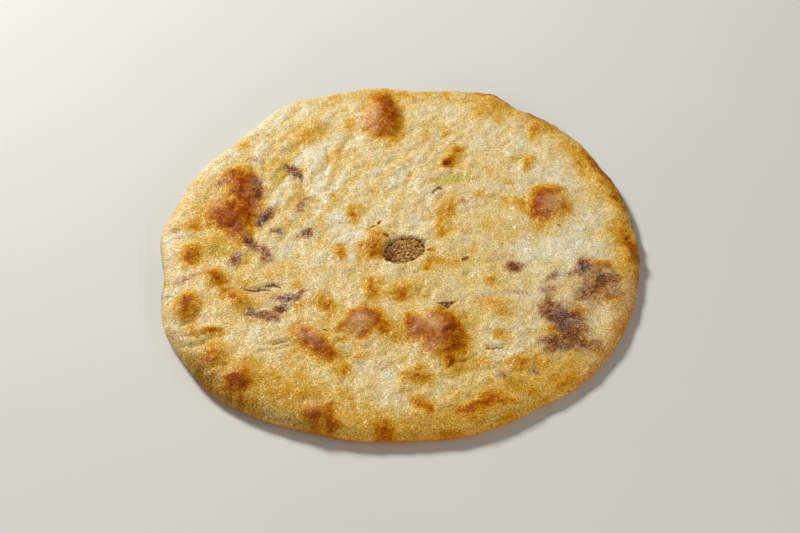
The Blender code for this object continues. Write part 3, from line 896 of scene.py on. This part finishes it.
# Small dark marks: torn bubbles and the cracks beside the vent
MARKS = (
    (34, 73, 1.7, 1.4, 60, 0.9), (43, -20, 3, 2, 40, 0.9), (-8, 2, 2.4, 1.6, -30, 1.0),
    (-13, 16, 2.6, 1.3, 65, 0.7), (-17, 12, 3, 0.9, 25, 0.6), (29, 47, 2.4, 1.6, -30, 0.7),
    (25, 42, 3.4, 1.5, 50, 0.5), (-18, -58, 1.4, 1, 0, 0.4), (19, -11, 1.6, 1, 60, 0.7),
    (21, 118, 1.4, 0.8, 90, 0.6), (-90, -41, 4, 0.8, 20, 0.5), (-82, -38, 4, 0.8, -5, 0.5),
    (-47, -79, 2.4, 0.9, -30, 0.8), (106, 9, 1.4, 0.8, 0, 0.6), (149, -1, 3, 1.4, 20, 0.7),
    (-17, 47, 1.8, 1.2, 60, 0.4), (30, -107, 4, 1.4, 60, 0.5),
)
print(len(STAINS), "stains and", len(MARKS), "marks")

# %% Gold and green
# Where the ground is golden: the rim, thin places and around the browned spots
GOLDEN = (
    (-70, -128, 42, 16, -22, 0.9), (-90, -122, 14, 8, -35, 0.6), (0, -151, 60, 9, 2, 0.8),
    (8, -160, 60, 6, 0, 1.0), (60, -136, 40, 14, 22, 0.85), (62, -148, 30, 8, 22, 0.9),
    (-100, -66, 18, 8, 0, 0.35), (95, -115, 30, 16, 38, 0.62), (45, -70, 18, 12, 90, 0.45),
    (60, -42, 10, 9, 0, 0.25), (20, -125, 50, 12, 0, 0.25), (-106, -52, 16, 12, 0, 0.45),
    (-116, -110, 26, 13, -38, 0.9), (-100, -30, 16, 10, 0, 0.3), (-112, -2, 20, 11, 0, 0.85),
    (-111, 4, 14, 8, 0, 0.5), (-122, 38, 14, 20, 0, 0.45), (-136, 30, 14, 16, 0, 0.3),
    (128, 72, 34, 12, 112, 0.7), (148, 0, 32, 9, 92, 0.75), (143, -28, 16, 5, 80, 0.6),
    (20, 150, 70, 9, 0, 0.6), (72, 136, 20, 14, 0, 0.6), (106, 112, 22, 11, -50, 0.6),
    (98, 13, 16, 10, 20, 0.3), (62, 8, 14, 14, 0, 0.3), (30, 17, 18, 9, 82, 0.55),
    (-14, -2, 12, 12, 0, 0.5), (28, -22, 18, 9, 0, 0.4), (-58, 109, 14, 11, 50, 0.5),
    (-40, 80, 14, 8, 90, 0.4), (-84, 68, 16, 7, 85, 0.5), (-64, 52, 9, 8, 60, 0.4),
    (-70, -30, 16, 12, 0, 0.25), (-20, -78, 24, 16, -10, 0.45), (-52, -91, 17, 15, 0, 0.5),
    (24, -88, 22, 18, 90, 0.5), (0, -47, 22, 12, 0, 0.4), (-98, -113, 15, 15, 0, 0.5),
    (40, 79, 13, 10, 50, 0.35),
)
# Green herb in the filling that shows through
GREENS = (
    (-80, 76, 8, 10, 60, 0.1), (42, 57, 14, 6, 5, 1.0), (30, 51, 11, 9, 40, 0.6),
    (22, 104, 14, 5, 80, 0.4), (-83, 67, 18, 7, 85, 0.7), (-63, 53, 9, 7, 60, 0.5),
    (-114, -3, 16, 10, 0, 0.75), (-150, -31, 7, 5, 90, 0.8), (-77, -85, 8, 3, 20, 0.5),
    (-60, 106, 12, 9, 50, 0.4), (-74, 112, 12, 9, 70, 0.3), (-8, 3, 6, 4, 40, 0.5),
    (12, -52, 10, 4, 0, 0.3), (-111, -72, 12, 4, 5, 0.3), (80, -97, 10, 4, 20, 0.4),
    (112, -103, 20, 6, 38, 0.45), (148, -36, 12, 4, 80, 0.5), (62, -45, 10, 8, 0, 0.3),
    (70, 28, 30, 12, 0, 0.2), (-34, -133, 6, 4, 0, 0.4),
)
print(len(GOLDEN), "golden and", len(GREENS), "green places")

# %% Pale and blushed places
# Thicker dough that stayed pale
PALES = (
    (-55, 73, 20, 6, 82, 1.0), (-64, 92, 10, 4, 55, 0.6), (-90, 125, 24, 9, 40, 0.6),
    (-128, 82, 16, 8, 60, 0.5), (-84, 45, 14, 5, 95, 0.7), (-80, 3, 12, 8, 0, 0.6),
    (-145, -32, 8, 5, 30, 0.4), (-140, -40, 14, 4, 8, 1.0), (-75, 32, 11, 9, 0, 0.6),
    (-75, -9, 9, 8, 0, 0.7), (-57, 31, 12, 11, 0, 0.5), (-56, -49, 8, 6, 0, 0.5),
    (50, -55, 9, 7, 0, 0.7), (-28, 94, 16, 10, 0, 0.6), (93, 46, 9, 6, 0, 0.6),
    (113, 60, 10, 16, 0, 0.7), (18, 28, 9, 8, 0, 0.4), (-150, 8, 22, 6, 90, 0.7),
    (-150, -42, 14, 5, 80, 0.6), (-70, -69, 10, 6, 40, 0.6), (-45, -22, 16, 10, 0, 0.3),
    (-32, 4, 11, 9, 0, 0.8), (12, 12, 10, 8, 0, 0.6), (14, 73, 9, 6, 0, 0.3), (44, 130, 12, 9, 90, 0.6),
    (-26, 124, 14, 5, 90, 0.7), (75, 92, 18, 10, 0, 0.5), (101, 60, 16, 8, 0, 0.7),
    (124, 16, 16, 9, 40, 0.8), (104, -12, 26, 10, -5, 1.0), (-94, 72, 6, 16, 0, 0.6),
    (84, -10, 10, 6, 0, 0.4), (100, -32, 20, 9, 0, 0.5), (0, -60, 12, 5, 0, 0.6),
    (-2, 40, 26, 14, 20, 0.15), (-14, -115, 16, 10, 0, 0.8), (-12, -137, 13, 7, 0, 0.6),
    (-5, -147, 7, 4, 0, 0.7), (76, -140, 9, 6, 30, 0.7), (26, -122, 10, 8, 60, 0.6),
    (53, -87, 7, 5, 0, 0.6), (57, -74, 8, 4, 100, 0.6), (67, -99, 9, 4, 0, 0.6),
    (120, -72, 12, 8, 60, 0.5), (-130, -84, 8, 4, 40, 0.4), (-86, -80, 9, 4, 0, 0.5),
    (-148, -66, 6, 4, 60, 0.5),
)
# Painted highlights: pinkish sheen on the tops and light-facing sides of the blisters, and pink beside
# the cracks
BLUSHES_AND_HIGHLIGHTS = (
    (-18, 123, 15, 6, 95, 0.9), (14, -80, 10, 6.5, 80, 0.8), (17, -86, 12, 7, 80, 0.8),
    (-27, -75.5, 9, 6, 60, 0.9), (-59, -82, 9, 6, -45, 0.8), (-51, -87, 7, 2.6, -60, 0.6),
    (103, 27, 9, 6, 70, 1.0), (-88, -44.5, 8, 2.2, 0, 1.0), (-80, -35, 6, 2, -10, 0.5),
    (-135, -52, 7, 2, 18, 0.5), (-53, -138, 5, 4, 0, 0.7), (-100, -105, 5, 3, 20, 0.5),
    (133, -85, 12, 6, 55, 0.6), (-134, -24, 12, 4, 20, 0.45), (-128, 50, 14, 12, 90, 0.4),
    (-122, 40, 6, 4, 90, 0.4), (93, 122, 5, 9, 0, 0.5), (-10, -100, 12, 8, 0, 0.3),
)
print(len(PALES), "pale and", len(BLUSHES_AND_HIGHLIGHTS), "blushed places")

# %% Toasted and shaded edge
# The edge is toasted where it met the hot side of the oven. From 180 to 243 degrees, on the
# left and left front where the side turns from the light, the darkening is partly painted
# shade. Direction in degrees, half width in degrees, reach in mm, strength
TOASTED_AND_SHADED = (
    (180, 32, 2, 0.5), (224, 17, 11, 0.95), (243, 12, 9, 0.5), (275, 25, 4, 0.2), (332, 14, 8, 0.45),
    (350, 13, 9, 0.6), (12, 14, 6, 0.7), (35, 16, 5, 0.4), (55, 20, 4, 0.5),
)
FRONT = math.radians(290)  # the side of the edge that is golden-orange down to the foot
print("toasted from", min(way for way, *_ in TOASTED_AND_SHADED), "to", max(way for way, *_ in TOASTED_AND_SHADED), "degrees")

# %% [markdown]
# ## Brushes
# Every spot is an oval whose edge is pushed about by noise, because nothing in an oven has
# a clean edge. Cracks and the toasted edge follow the same formulas as the shape, so that
# the colour stays on the form when the form is corrected.

# %% Soft spots
EDGE_WARP = ((9 * MM, 0.9 * MM), (3.5 * MM, 0.7 * MM))  # width and reach of the pushing about
SPOT_FALL = 0.8  # how fast a spot fades outwards


def warped(x, y, seed):
    """Places pushed about, so that an oval painted through them has an uneven edge."""
    for step, (width, reach) in enumerate(EDGE_WARP):
        x = x + reach * noise(x, y, width, seed + 2 * step)
        y = y + reach * noise(y, x, width, seed + 2 * step + 1)
    return x, y


def smooth_step(value, low, high):
    """0 up to low and 1 from high on, with a smooth rise in between."""
    share = np.clip((value - low) / (high - low), 0, 1)
    return share * share * (3 - 2 * share)


def painted(x, y, spots, seed, edge):
    """The strength of overlapping soft spots; a high edge makes them end more sharply."""
    x, y = warped(x, y, seed)
    left = np.ones_like(x)
    for east, north, half_length, half_width, direction, strength in spots:
        place = (east * MM, north * MM)
        reach = oval(x, y, place, half_length * MM, half_width * MM, direction)
        left *= 1 - strength * np.exp(-SPOT_FALL * reach**edge)
    return 1 - left


print("a round spot fades to", np.round(np.exp(-SPOT_FALL * np.array([1, 2]) ** 2), 2), "outwards")

# %% Cracks and edges
CRACK_SHARE = 0.9  # of a crease's width is dark
TOAST_ON_CRESTS = 0.5  # how much more the crests of the wrinkles are toasted
TOAST_PATCHES = (7 * MM, 0.3, 17)  # width, depth and seed
JUICE_SHADE_EDGE = 3 * MM  # how far outside the vent the juice and painted shade begin
JUICE_SHADE_REACH = 0.7  # of the vent's half width, from its middle to where the edge is darkest


def cracks(x, y):
    """How dark the creases are, a little narrower than they are deep."""
    x, y = bent(x, y)
    dark = np.zeros_like(x)
    for half_width, _, darkness, route in CREASES:
        line = near_line(x, y, route, CRACK_SHARE * half_width * MM)
        dark = np.maximum(dark, darkness * line)
    return dark


def toasted(x, y):
    """How toasted the edge is, more so on the crests of its wrinkles, with painted shade on the left
    and left front.
    """
    angle = np.arctan2(y, x)
    inset = np.clip(edge_radius(angle) - np.hypot(x, y), 0, None) / MM
    brown = np.zeros_like(x)
    for direction, half_width, reach, strength in TOASTED_AND_SHADED:
        turn = np.degrees(np.angle(np.exp(1j * (angle - math.radians(direction)))))
        faded = np.exp(-((turn / half_width) ** 2) - (inset / reach) ** 2)
        brown = np.maximum(brown, strength * faded)
    return brown * patchy(x, y, 1 + TOAST_ON_CRESTS * rim_wrinkles(x, y), TOAST_PATCHES)


def juice_and_shade_edge(x, y):
    """The far edge of the vent, which is drawn down into the hole and took up juice, darkened further
    as painted shade, since it faces away from the light.
    """
    near = smooth_step(-outside_by(x, y, VENT), -JUICE_SHADE_EDGE, 0)
    return near * smooth_step(y - VENT[0][1], 0, VENT[1][1] * JUICE_SHADE_REACH)


def store(piece, name, values):
    """Keep a number for each point of the piece under a name."""
    kept = piece.data.attributes.new(name, "FLOAT", "POINT")
    kept.data.foreach_set("value", values.astype(np.float32))
    print(f"{name}: up to {values.max():.2f}, strong on {(values > 0.3).mean():.1%} of the points")


print("toast up to", max(strength for *_, strength in TOASTED_AND_SHADED), "in", len(TOASTED_AND_SHADED), "places")

# %% [markdown]
# ## Paint on the crust
# The upper skin takes the spots. The underside lay on the oven floor, so it is evenly
# golden brown with a few darker patches, and the front of the edge is golden down to the
# foot. The walls of the pocket are told from the skin by how far they lie under the lid.

# %% Paints
# Name, spots, noise seed and sharpness of the edge
PAINTS = (
    ("bake", BROWNED, 50, 1.9),
    ("gold", GOLDEN, 60, 2.2),
    ("stain", STAINS, 70, 2.0),
    ("mark", MARKS, 75, 4.0),
    ("green", GREENS, 80, 2.2),
    ("pale", PALES, 90, 2.2),
    ("blush_and_highlight", BLUSHES_AND_HIGHLIGHTS, 100, 2.4),
)
UNDERSIDE = (0.4 * MM, 2.5 * MM)  # the heights between which it goes over into the side
UNDERSIDE_BAKE = (0.42, (22 * MM, 0.25, 45), (7 * MM, 0.12, 46))  # level, patches
POCKET_UNDER = (2.2 * MM, 2.8 * MM)  # how far under the smooth lid the pocket's walls begin
POCKET_INSET = 11 * MM  # how far inside the outline they begin
POCKET_LOW = 2.5 * MM  # and how far above the floor
CUT_EDGE = 0.25 * MM  # how soft the change is at the openings
CREST_BAKE = -0.2  # less browning on the crests of the drawn-out wrinkles and more in their troughs: painted light and shade
HIGHLIGHT_LEVEL = 0.9
CREST_HIGHLIGHT = 0.9  # and take more of the painted highlight
FOOT_COLOUR = (-12 * MM, -1 * MM)  # minus the heights at which it begins and is full
FOOT_TURN = (-0.2, 0.6)  # the cosine of the angle to the front where it begins and is full
FOOT_PATCHES = (0.75, (16 * MM, 0.5, 43), (5 * MM, 0.25, 44))
print(len(PAINTS), "paints of", sum(len(spots) for _, spots, _, _ in PAINTS), "spots in all")

# %% Paint on the crust
x, y, z = points_of(crust).T
angle = np.arctan2(y, x)
inset = edge_radius(angle) - np.hypot(x, y)
inside = smooth_step(smooth_top(inset, angle) - z, *POCKET_UNDER)
inside = inside * (inset > POCKET_INSET) * (z > POCKET_LOW)
for opening in OPENINGS:
    inside = np.maximum(inside, smooth_step(-outside_by(x, y, opening), 0, CUT_EDGE))
under = 1 - smooth_step(z, *UNDERSIDE)
upper = 1 - under
crests = np.clip(streaks(x, y), -1, 1)
in_front = smooth_step(np.cos(angle - FRONT), *FOOT_TURN)

paint = {name: upper * painted(x, y, spots, seed, edge) for name, spots, seed, edge in PAINTS}
# browning lower on the crests of the drawn-out wrinkles, higher in the troughs: painted light and shade
paint["bake"] *= 1 + CREST_BAKE * crests
paint["bake"] += under * np.clip(patchy(x, y, *UNDERSIDE_BAKE), 0, 1)
paint["gold"] += under
paint["mark"] = np.maximum(paint["mark"], upper * cracks(x, y))
# the painted highlight, stronger on the crests of the drawn-out wrinkles
paint["blush_and_highlight"] *= HIGHLIGHT_LEVEL + CREST_HIGHLIGHT * crests
paint["proud"] = skin(x, y) / MM
paint["streak"] = crests
# toast and painted shade of the edge, and juice and painted shade at the vent's far edge
paint["toast"] = np.maximum(upper * toasted(x, y), juice_and_shade_edge(x, y))
paint["inside"] = inside
foot = smooth_step(-z, *FOOT_COLOUR) * in_front * patchy(x, y, *FOOT_PATCHES)
paint["foot"] = np.clip(foot, 0, 1)
for name, values in paint.items():
    store(crust, name, values)

# %% [markdown]
# ## Paint on the filling
# Juice has gathered at the left of the vent, under its sagging edge, and in the slit. The
# dark there is partly juice and partly painted shade, where the sagging edge and the lip of
# the slit keep the light off. It is one number from the place alone, so that lumps and layer
# darken together.

# %% Paint on the filling
JUICE_AND_SHADE_PATCHES = (3 * MM, 0.25, 41)
JUICE_AND_SHADE_START = (0.1, 0.6)  # of the vent's half length to the left: where it begins, is full
SLIT_JUICE_AND_SHADE = 0.6
SLIT_REACH = 5 * MM

x, y, z = points_of(filling).T
leftwards = (VENT[0][0] - x) * math.cos(math.radians(VENT[2])) / VENT[1][0]
# juice and painted shade towards the left of the vent
juice = smooth_step(patchy(x, y, leftwards, JUICE_AND_SHADE_PATCHES), *JUICE_AND_SHADE_START)
in_slit = outside_by(x, y, SLIT) < SLIT_REACH
# and in the slit, partly painted shade under its lip
store(filling, "juice", np.maximum(juice, SLIT_JUICE_AND_SHADE * in_slit))

# %% [markdown]
# ## Colours and nodes
# Colours are picked as the hex values that a screen shows and turned to the linear values
# that light is reckoned in. One helper adds a node and feeds it, so that a material reads
# as a list of what goes into what. Two more work through steps of arithmetic and through
# layers of colour, as a cook would brush one over another.

# %% Helpers for materials
def linear(hex_colour):
    """Screen colour #RRGGBB as linear red, green, blue and alpha."""
    parts = [int(hex_colour[k : k + 2], 16) / 255 for k in (1, 3, 5)]
    return (*(p / 12.92 if p <= 0.04045 else ((p + 0.055) / 1.055) ** 2.4 for p in parts), 1)


def feed(tree, node, inputs):
    """Set a node's inputs. Each is a value, a hex colour or another node's output, or a tuple:
    an output, from where to where it is read, and what a smooth curve makes of those."""
    for key, value in inputs.items():
        if isinstance(value, str):
            value = linear(value)
        if isinstance(value, tuple) and isinstance(value[0], bpy.types.NodeSocket):
            curve = dict(zip(("Value", "From Min", "From Max", "To Min", "To Max"), value))
            value = add(tree, "MapRange", curve, interpolation_type="SMOOTHSTEP")
        if isinstance(value, bpy.types.NodeSocket):
            tree.links.new(value, node.inputs[key])
        else:
            node.inputs[key].default_value = value


def add(tree, kind, inputs, output=0, **settings):
    """Add a node with its settings, feed it, and give one of its outputs."""
    node = tree.nodes.new("ShaderNode" + kind)
    for name, value in settings.items():
        setattr(node, name, value)
    feed(tree, node, inputs)
    return node.outputs[output]


def worked(tree, value, *steps):
    """A number taken through steps of arithmetic, each with another number."""
    for operation, other in steps:
        value = add(tree, "Math", {0: value, 1: other}, operation=operation)
    return value


def layered(tree, colour, *layers):
    """Colours laid over one another, each with the share of it that shows."""
    for share, over in layers:
        both = {0: share, 6: colour, 7: over}
        colour = add(tree, "Mix", both, output=2, data_type="RGBA")
    return colour


def patterned(tree, patterns):
    """Noises on the piece's own coordinates: name, width in mm, detail and roughness."""
    place = add(tree, "TexCoord", {}, output="Object")
    made = {"place": place}
    for name, width, detail, roughness in patterns:
        sizes = {"Vector": place, "Scale": 1 / (width * MM), "Detail": detail}
        made[name] = add(tree, "TexNoise", {**sizes, "Roughness": roughness})
    return made


def new_material(name):
    """A material with its node tree and its shader."""
    made = bpy.data.materials.new(name)
    made.use_nodes = True
    return made, made.node_tree, made.node_tree.nodes["Principled BSDF"]


def dress(piece, finish):
    """Give a piece one material all over."""
    piece.data.materials.clear()
    piece.data.materials.append(finish)
    print(piece.name, "has", finish.name, "of", len(finish.node_tree.nodes), "nodes")


print("cream dough is", [round(v, 3) for v in linear("#F2E0BC")[:3]], "in linear light")

# %% [markdown]
# ## Baked dough, brushed with butter
# The real surface is wheat dough dried and browned by the oven, then brushed with melted
# butter. The starch gives a cream ground, browning runs from gold through orange to
# red-brown on the blisters, and the thin coat of fat gives small bright glints. Noises of
# several widths, from patches as wide as two fingers down to crumbs, keep any one size
# from showing as a pattern.

# %% Patterns of the crust
# Name, width in mm, detail and roughness
CRUST_PATTERNS = (
    ("patches", 22, 2, 0.6), ("rosy", 13, 1, 0.5), ("meaty", 12, 1, 0.6), ("blotches", 9, 0, 0.6),
    ("mottle", 8, 2, 0.4), ("curds", 4.2, 1, 0.4), ("beads", 3.0, 1, 0.6), ("pits", 2.6, 2, 0.6),
    ("grains", 1.6, 2, 0.6),
)
# Width of the light and dark specks in the colour, partly grain and partly painted glints of the
# butter.
# Flour and dried fat are finer than this, which is as fine as the render can show
SPECK_WIDTH = 0.5 * MM

dough, tree, shader = new_material("baked wheat dough with butter")
noises = patterned(tree, CRUST_PATTERNS)
brushed = {name: add(tree, "Attribute", {}, output="Fac", attribute_name=name) for name in paint}
# cells of light and dark specks, partly painted glints of the butter
cells = {"Vector": noises["place"], "Scale": 1 / SPECK_WIDTH}
glinting_specks = add(tree, "SeparateColor", {"Color": add(tree, "TexVoronoi", cells, output="Color")})
print(len(CRUST_PATTERNS), "patterns and", len(brushed), "painted numbers")

# %% [markdown]
# ## The dough's colour
# Where the oven has hardly touched it, the dough is cream, and turns golden where it is
# thin, buttered or nearer the heat. Crests are painted a little paler and hollows a little
# more golden, the crests of the drawn-out wrinkles also less green and less brown: painted
# light and shade on the relief. Rosy and greenish parts are the filling, seen through thin dough.

# %% Ground colour
golden = worked(
    tree,
    brushed["gold"],
    ("MULTIPLY", 0.8),
    ("ADD", (noises["patches"], 0.35, 0.7, -0.02, 0.12)),
    ("ADD", (noises["blotches"], 0.45, 0.75, 0, 0.24)),
    # crests paler and hollows more golden: painted light and shade on the relief
    ("ADD", (brushed["proud"], -0.8, 0.8, 0.05, -0.06)),
    # the crests of the drawn-out wrinkles paler still: painted light
    ("SUBTRACT", worked(tree, brushed["streak"], ("MULTIPLY", 0.5))),
    ("SUBTRACT", worked(tree, brushed["pale"], ("MULTIPLY", 0.35))),
)
# the crests of the drawn-out wrinkles less green: painted light
lit_crests = worked(tree, brushed["streak"], ("MULTIPLY", 0.35))
greened = worked(tree, brushed["green"], ("SUBTRACT", lit_crests))
ground = layered(
    tree,
    "#F2E0BC",
    ((golden, -0.3, 0.2, 0, 1), "#EACB8C"),
    ((golden, 0.1, 0.7, 0, 1), "#DEB24A"),
    ((golden, 0.46, 0.84, 0, 1), "#CA9304"),
    ((noises["rosy"], 0.52, 0.7, 0, 0.18), "#DDB99E"),
    ((noises["rosy"], 0.48, 0.3, 0, 0.28), "#D6BE6C"),
    ((greened, 0.0, 1.0, 0, 0.6), "#C0A238"),
    ((greened, 0.6, 1.0, 0, 0.7), "#C4BE5C"),
)
print("ground laid in", len(tree.nodes), "nodes so far")

# %% [markdown]
# ## Browning
# Browning is one number from raw to burnt, and a ramp turns it to colour. That keeps the
# order of the colours right wherever two spots meet, as in a real crust, where brown never
# touches cream without gold and orange between them.

# %% Browned colour
STOPS = (
    (0.0, "#E8C070"), (0.2, "#E2B452"), (0.4, "#D69E34"), (0.5, "#CD8E1C"), (0.6, "#C27A08"),
    (0.7, "#B26400"), (0.85, "#A04C00"), (1.0, "#8C3A00"),
)
grainy = (noises["grains"], 0.3, 0.7, -0.14, 0.14)
uneven = worked(tree, (noises["curds"], 0.3, 0.7, 0.85, 1.15), ("ADD", grainy))
mottled = (noises["mottle"], 0.32, 0.68, -0.07, 0.07)
baked = worked(tree, brushed["bake"], ("MULTIPLY", uneven), ("ADD", mottled))
browned = add(tree, "ValToRGB", {"Fac": baked})
ramp = browned.node.color_ramp.elements
for number, (position, colour) in enumerate(STOPS):
    stop = ramp[number] if number < 2 else ramp.new(position)
    stop.position = position
    stop.color = linear(colour)
print("browning has", len(ramp), "stops")

# %% [markdown]
# ## Stains, marks and the edge
# Meat juice soaks through thin dough and dries grey-brown, redder in some places. Torn
# bubbles are nearly black, the walls of the pocket stay dull, and the edge is toasted where
# it faced the fire. On the left and left front, and at the far edge of the vent, that dark
# colour is partly painted shade, and the pinkish layer on the blisters is a painted highlight.
# They lie over the browning, so they are layered last.

# %% Stained and toasted colour
stained = worked(
    tree,
    brushed["stain"],
    ("MULTIPLY", (noises["mottle"], 0.35, 0.6, 0.65, 1.15)),
    ("MULTIPLY", (noises["pits"], 0.3, 0.6, 1.2, 0.65)),
)
redder = (noises["meaty"], 0.34, 0.58, 0, 1)
thin_meat = layered(tree, "#946E5C", (redder, "#A46C34"))
thick_meat = layered(tree, "#5A3628", (redder, "#703A10"))
blush_and_highlight_share = worked(tree, brushed["blush_and_highlight"], ("MULTIPLY", (noises["grains"], 0.3, 0.6, 0.3, 0.75)))
coloured = layered(
    tree,
    ground,
    ((baked, 0.0, 0.36, 0, 1), browned),
    ((stained, 0.0, 0.4, 0, 0.85), thin_meat),
    ((stained, 0.28, 0.75, 0, 0.9), thick_meat),
    # painted highlight: pinkish sheen on the blisters
    (blush_and_highlight_share, "#DCA87A"),
    ((brushed["mark"], 0.2, 0.65, 0, 0.9), "#6A2E00"),
    (brushed["inside"], "#94602E"),
    # toasted edge and the vent's far edge, partly painted shade
    (worked(tree, brushed["toast"], ("MULTIPLY", 0.8)), "#7E560E"),
    ((brushed["foot"], 0, 1, 0, 0.9), "#C87C04"),
)
print("coloured in", len(tree.nodes), "nodes so far")

# %% [markdown]
# ## Grain and gloss
# The finest grain is light and dark specks in the colour, partly the grain of the skin and
# partly painted glints of the butter. It is as strong on a screen in a dark place as in a pale
# one, so it is added to the colour as a screen shows it. Fat and starch have an IOR of about
# 1.5, and baked dough a roughness of about 0.5. The dry skin is full of air and scatters the
# light, so its own IOR and gloss are matched lower. The butter is a thin clear coat with its
# own beads, weaker where the dough is baked dark and has drunk it up. A little light goes into
# the starch and comes out again.

# %% Grain, gloss and butter
SCREEN = 2.2
SPECK_STRENGTH = (0.18, 0.1)  # on pale dough and where it is baked dark

seen = add(tree, "Gamma", {"Color": coloured, "Gamma": 1 / SCREEN})
# the specks are mixed into the colour here, partly as painted glints
grain_and_glints = {0: (baked, 0.3, 0.9, *SPECK_STRENGTH), 6: seen, 7: glinting_specks}
blend = {"data_type": "RGBA", "blend_type": "LINEAR_LIGHT", "clamp_result": True}
seen = add(tree, "Mix", grain_and_glints, output=2, **blend)
rolling = add(tree, "Bump", {"Height": noises["curds"], "Strength": 0.5, "Distance": 1.4 * MM})
rough_skin = {"Height": noises["grains"], "Strength": 0.6, "Distance": 0.9 * MM, "Normal": rolling}
dry_foot = (brushed["foot"], 0.1, 0.8, 1, 0.2)
buttered = worked(tree, (baked, 0.3, 0.8, 0.22, 0.07), ("MULTIPLY", dry_foot))
drops = {"Height": noises["beads"], "Strength": 1.0, "Distance": 1.3 * MM}
baked_skin = {
    "Base Color": add(tree, "Gamma", {"Color": seen, "Gamma": SCREEN}),
    "Roughness": (noises["grains"], 0.3, 0.7, 0.62, 0.42),
    "IOR": 1.4,
    "Specular IOR Level": 0.04,
    "Normal": add(tree, "Bump", rough_skin),
    "Coat Weight": buttered,
    "Coat Roughness": 0.17,
    "Coat Normal": add(tree, "Bump", drops),
    "Subsurface Weight": 0.04,
    "Subsurface Radius": (1.0, 0.6, 0.3),
    "Subsurface Scale": 1 * MM,
}
feed(tree, shader, baked_skin)
dress(crust, dough)

# %% [markdown]
# ## Minced filling
# Cooked mince is brown-grey with paler and darker crumbs, and wet, so it is darker and
# shinier than the dough. Each lump takes its own tone from a noise as wide as a lump, which
# needs no separate material for each of them.

# %% Material of the filling
mince, tree, shader = new_material("cooked mince in its juice")
noises = patterned(tree, (("lump", 2.6, 2, 0.6), ("crumb", 1.1, 3, 0.6)))
juice_and_shade_share = add(tree, "Attribute", {}, output="Fac", attribute_name="juice")
tone = layered(
    tree,
    "#966A22",
    ((noises["lump"], 0.35, 0.65, 0, 1), "#CC9A4C"),
    ((noises["crumb"], 0.52, 0.68, 0, 0.75), "#F0D6A6"),
    ((noises["crumb"], 0.46, 0.36, 0, 0.8), "#623A0C"),
    # juice, partly painted shade under the vent's sagging edge and in the slit
    (worked(tree, juice_and_shade_share, ("MULTIPLY", 0.85)), "#7C420C"),
)
crumbly = {"Height": noises["crumb"], "Strength": 0.5, "Distance": 0.3 * MM}
wet_mince = {
    "Base Color": tone,
    "Roughness": 0.5,
    "Specular IOR Level": 0.1,
    "Normal": add(tree, "Bump", crumbly),
    "Coat Weight": 0.12,
    "Coat Roughness": 0.15,
}
feed(tree, shader, wet_mince)
dress(filling, mince)

# %% [markdown]
# ## Finish the pieces
# The pie was modelled about the middle of its measures. Both pieces move, all points at
# once in edit mode, until the middle of the outline is on the origin. Moving the object
# would leave its own origin off the pie's. Then they are shaded smooth, take the place of
# the plain solids and ride on the pie's one body.

# %% Finish and place
for piece, node, slot in ((crust, "crust", "baked_crust"), (filling, "filling", "minced_filling")):
    pick(piece)
    bpy.ops.object.mode_set(mode="EDIT")
    bpy.ops.mesh.select_all(action="SELECT")
    bpy.ops.transform.translate(value=(-OUTLINE_MIDDLE[0], -OUTLINE_MIDDLE[1], 0))
    bpy.ops.object.mode_set(mode="OBJECT")
    bpy.ops.object.shade_smooth()
    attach(piece, "root")
    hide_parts(node)
    print(piece.name, "takes the place of", node, "with", len(piece.data.polygons), "faces")

# %% [markdown]
# ## Floor and light
# A pale floor and soft light leave the pie to speak. The main light is a window-like panel
# behind and to the left, low enough to glance off the buttered lid into the camera. A
# second, weaker panel on the right opens the shadows, and a third stands low in front, so
# that the front of the edge shows its gold. A sun would make the relief look hard.

# %% Floor
FLOOR_SIZE = 8
FLOOR_GAP = 0.2 * MM  # keeps the floor and the pie's base apart

pick()
bpy.ops.mesh.primitive_plane_add(size=FLOOR_SIZE, location=(0, 0, -FLOOR_GAP))
floor = bpy.context.object
floor.name = "floor"
chalk, tree, shader = new_material("matt painted floor")
noises = patterned(tree, (("wash", 400, 3, 0.6),))
washed = layered(tree, "#D9D7D2", (noises["wash"], "#E3E1DC"))
feed(tree, shader, {"Base Color": washed, "Roughness": 0.8})
dress(floor, chalk)

# %% Light
LIGHTS = (  # name, place, side of the square panel in metres, power in watts
    ("window", (-1.0, 1.18, 1.3), 0.5, 42),
    ("fill", (1.5, -0.9, 1.1), 1.0, 4),
    ("front", (0.55, -1.3, 0.3), 0.5, 6),
)
LAMP_COLOUR = (0.98, 0.97, 0.94)  # linear, a hair warmer than white
SKY_STRENGTH = 0.18

for name, spot, size, power in LIGHTS:
    bpy.ops.object.light_add(type="AREA", location=spot)
    lamp = bpy.context.object
    lamp.name = name
    lamp.rotation_euler = (-Vector(spot)).to_track_quat("-Z", "Y").to_euler()
    lamp.data.size = size
    lamp.data.energy = power
    lamp.data.color = LAMP_COLOUR

sky = bpy.data.worlds.new("pale room")
sky.use_nodes = True
room = {"Color": "#F0EDE8", "Strength": SKY_STRENGTH}
feed(sky.node_tree, sky.node_tree.nodes["Background"], room)
bpy.context.scene.world = sky
bpy.context.scene.view_settings.view_transform = "Standard"
print(len(LIGHTS), "panels of", sum(power for *_, power in LIGHTS), "watts in all")
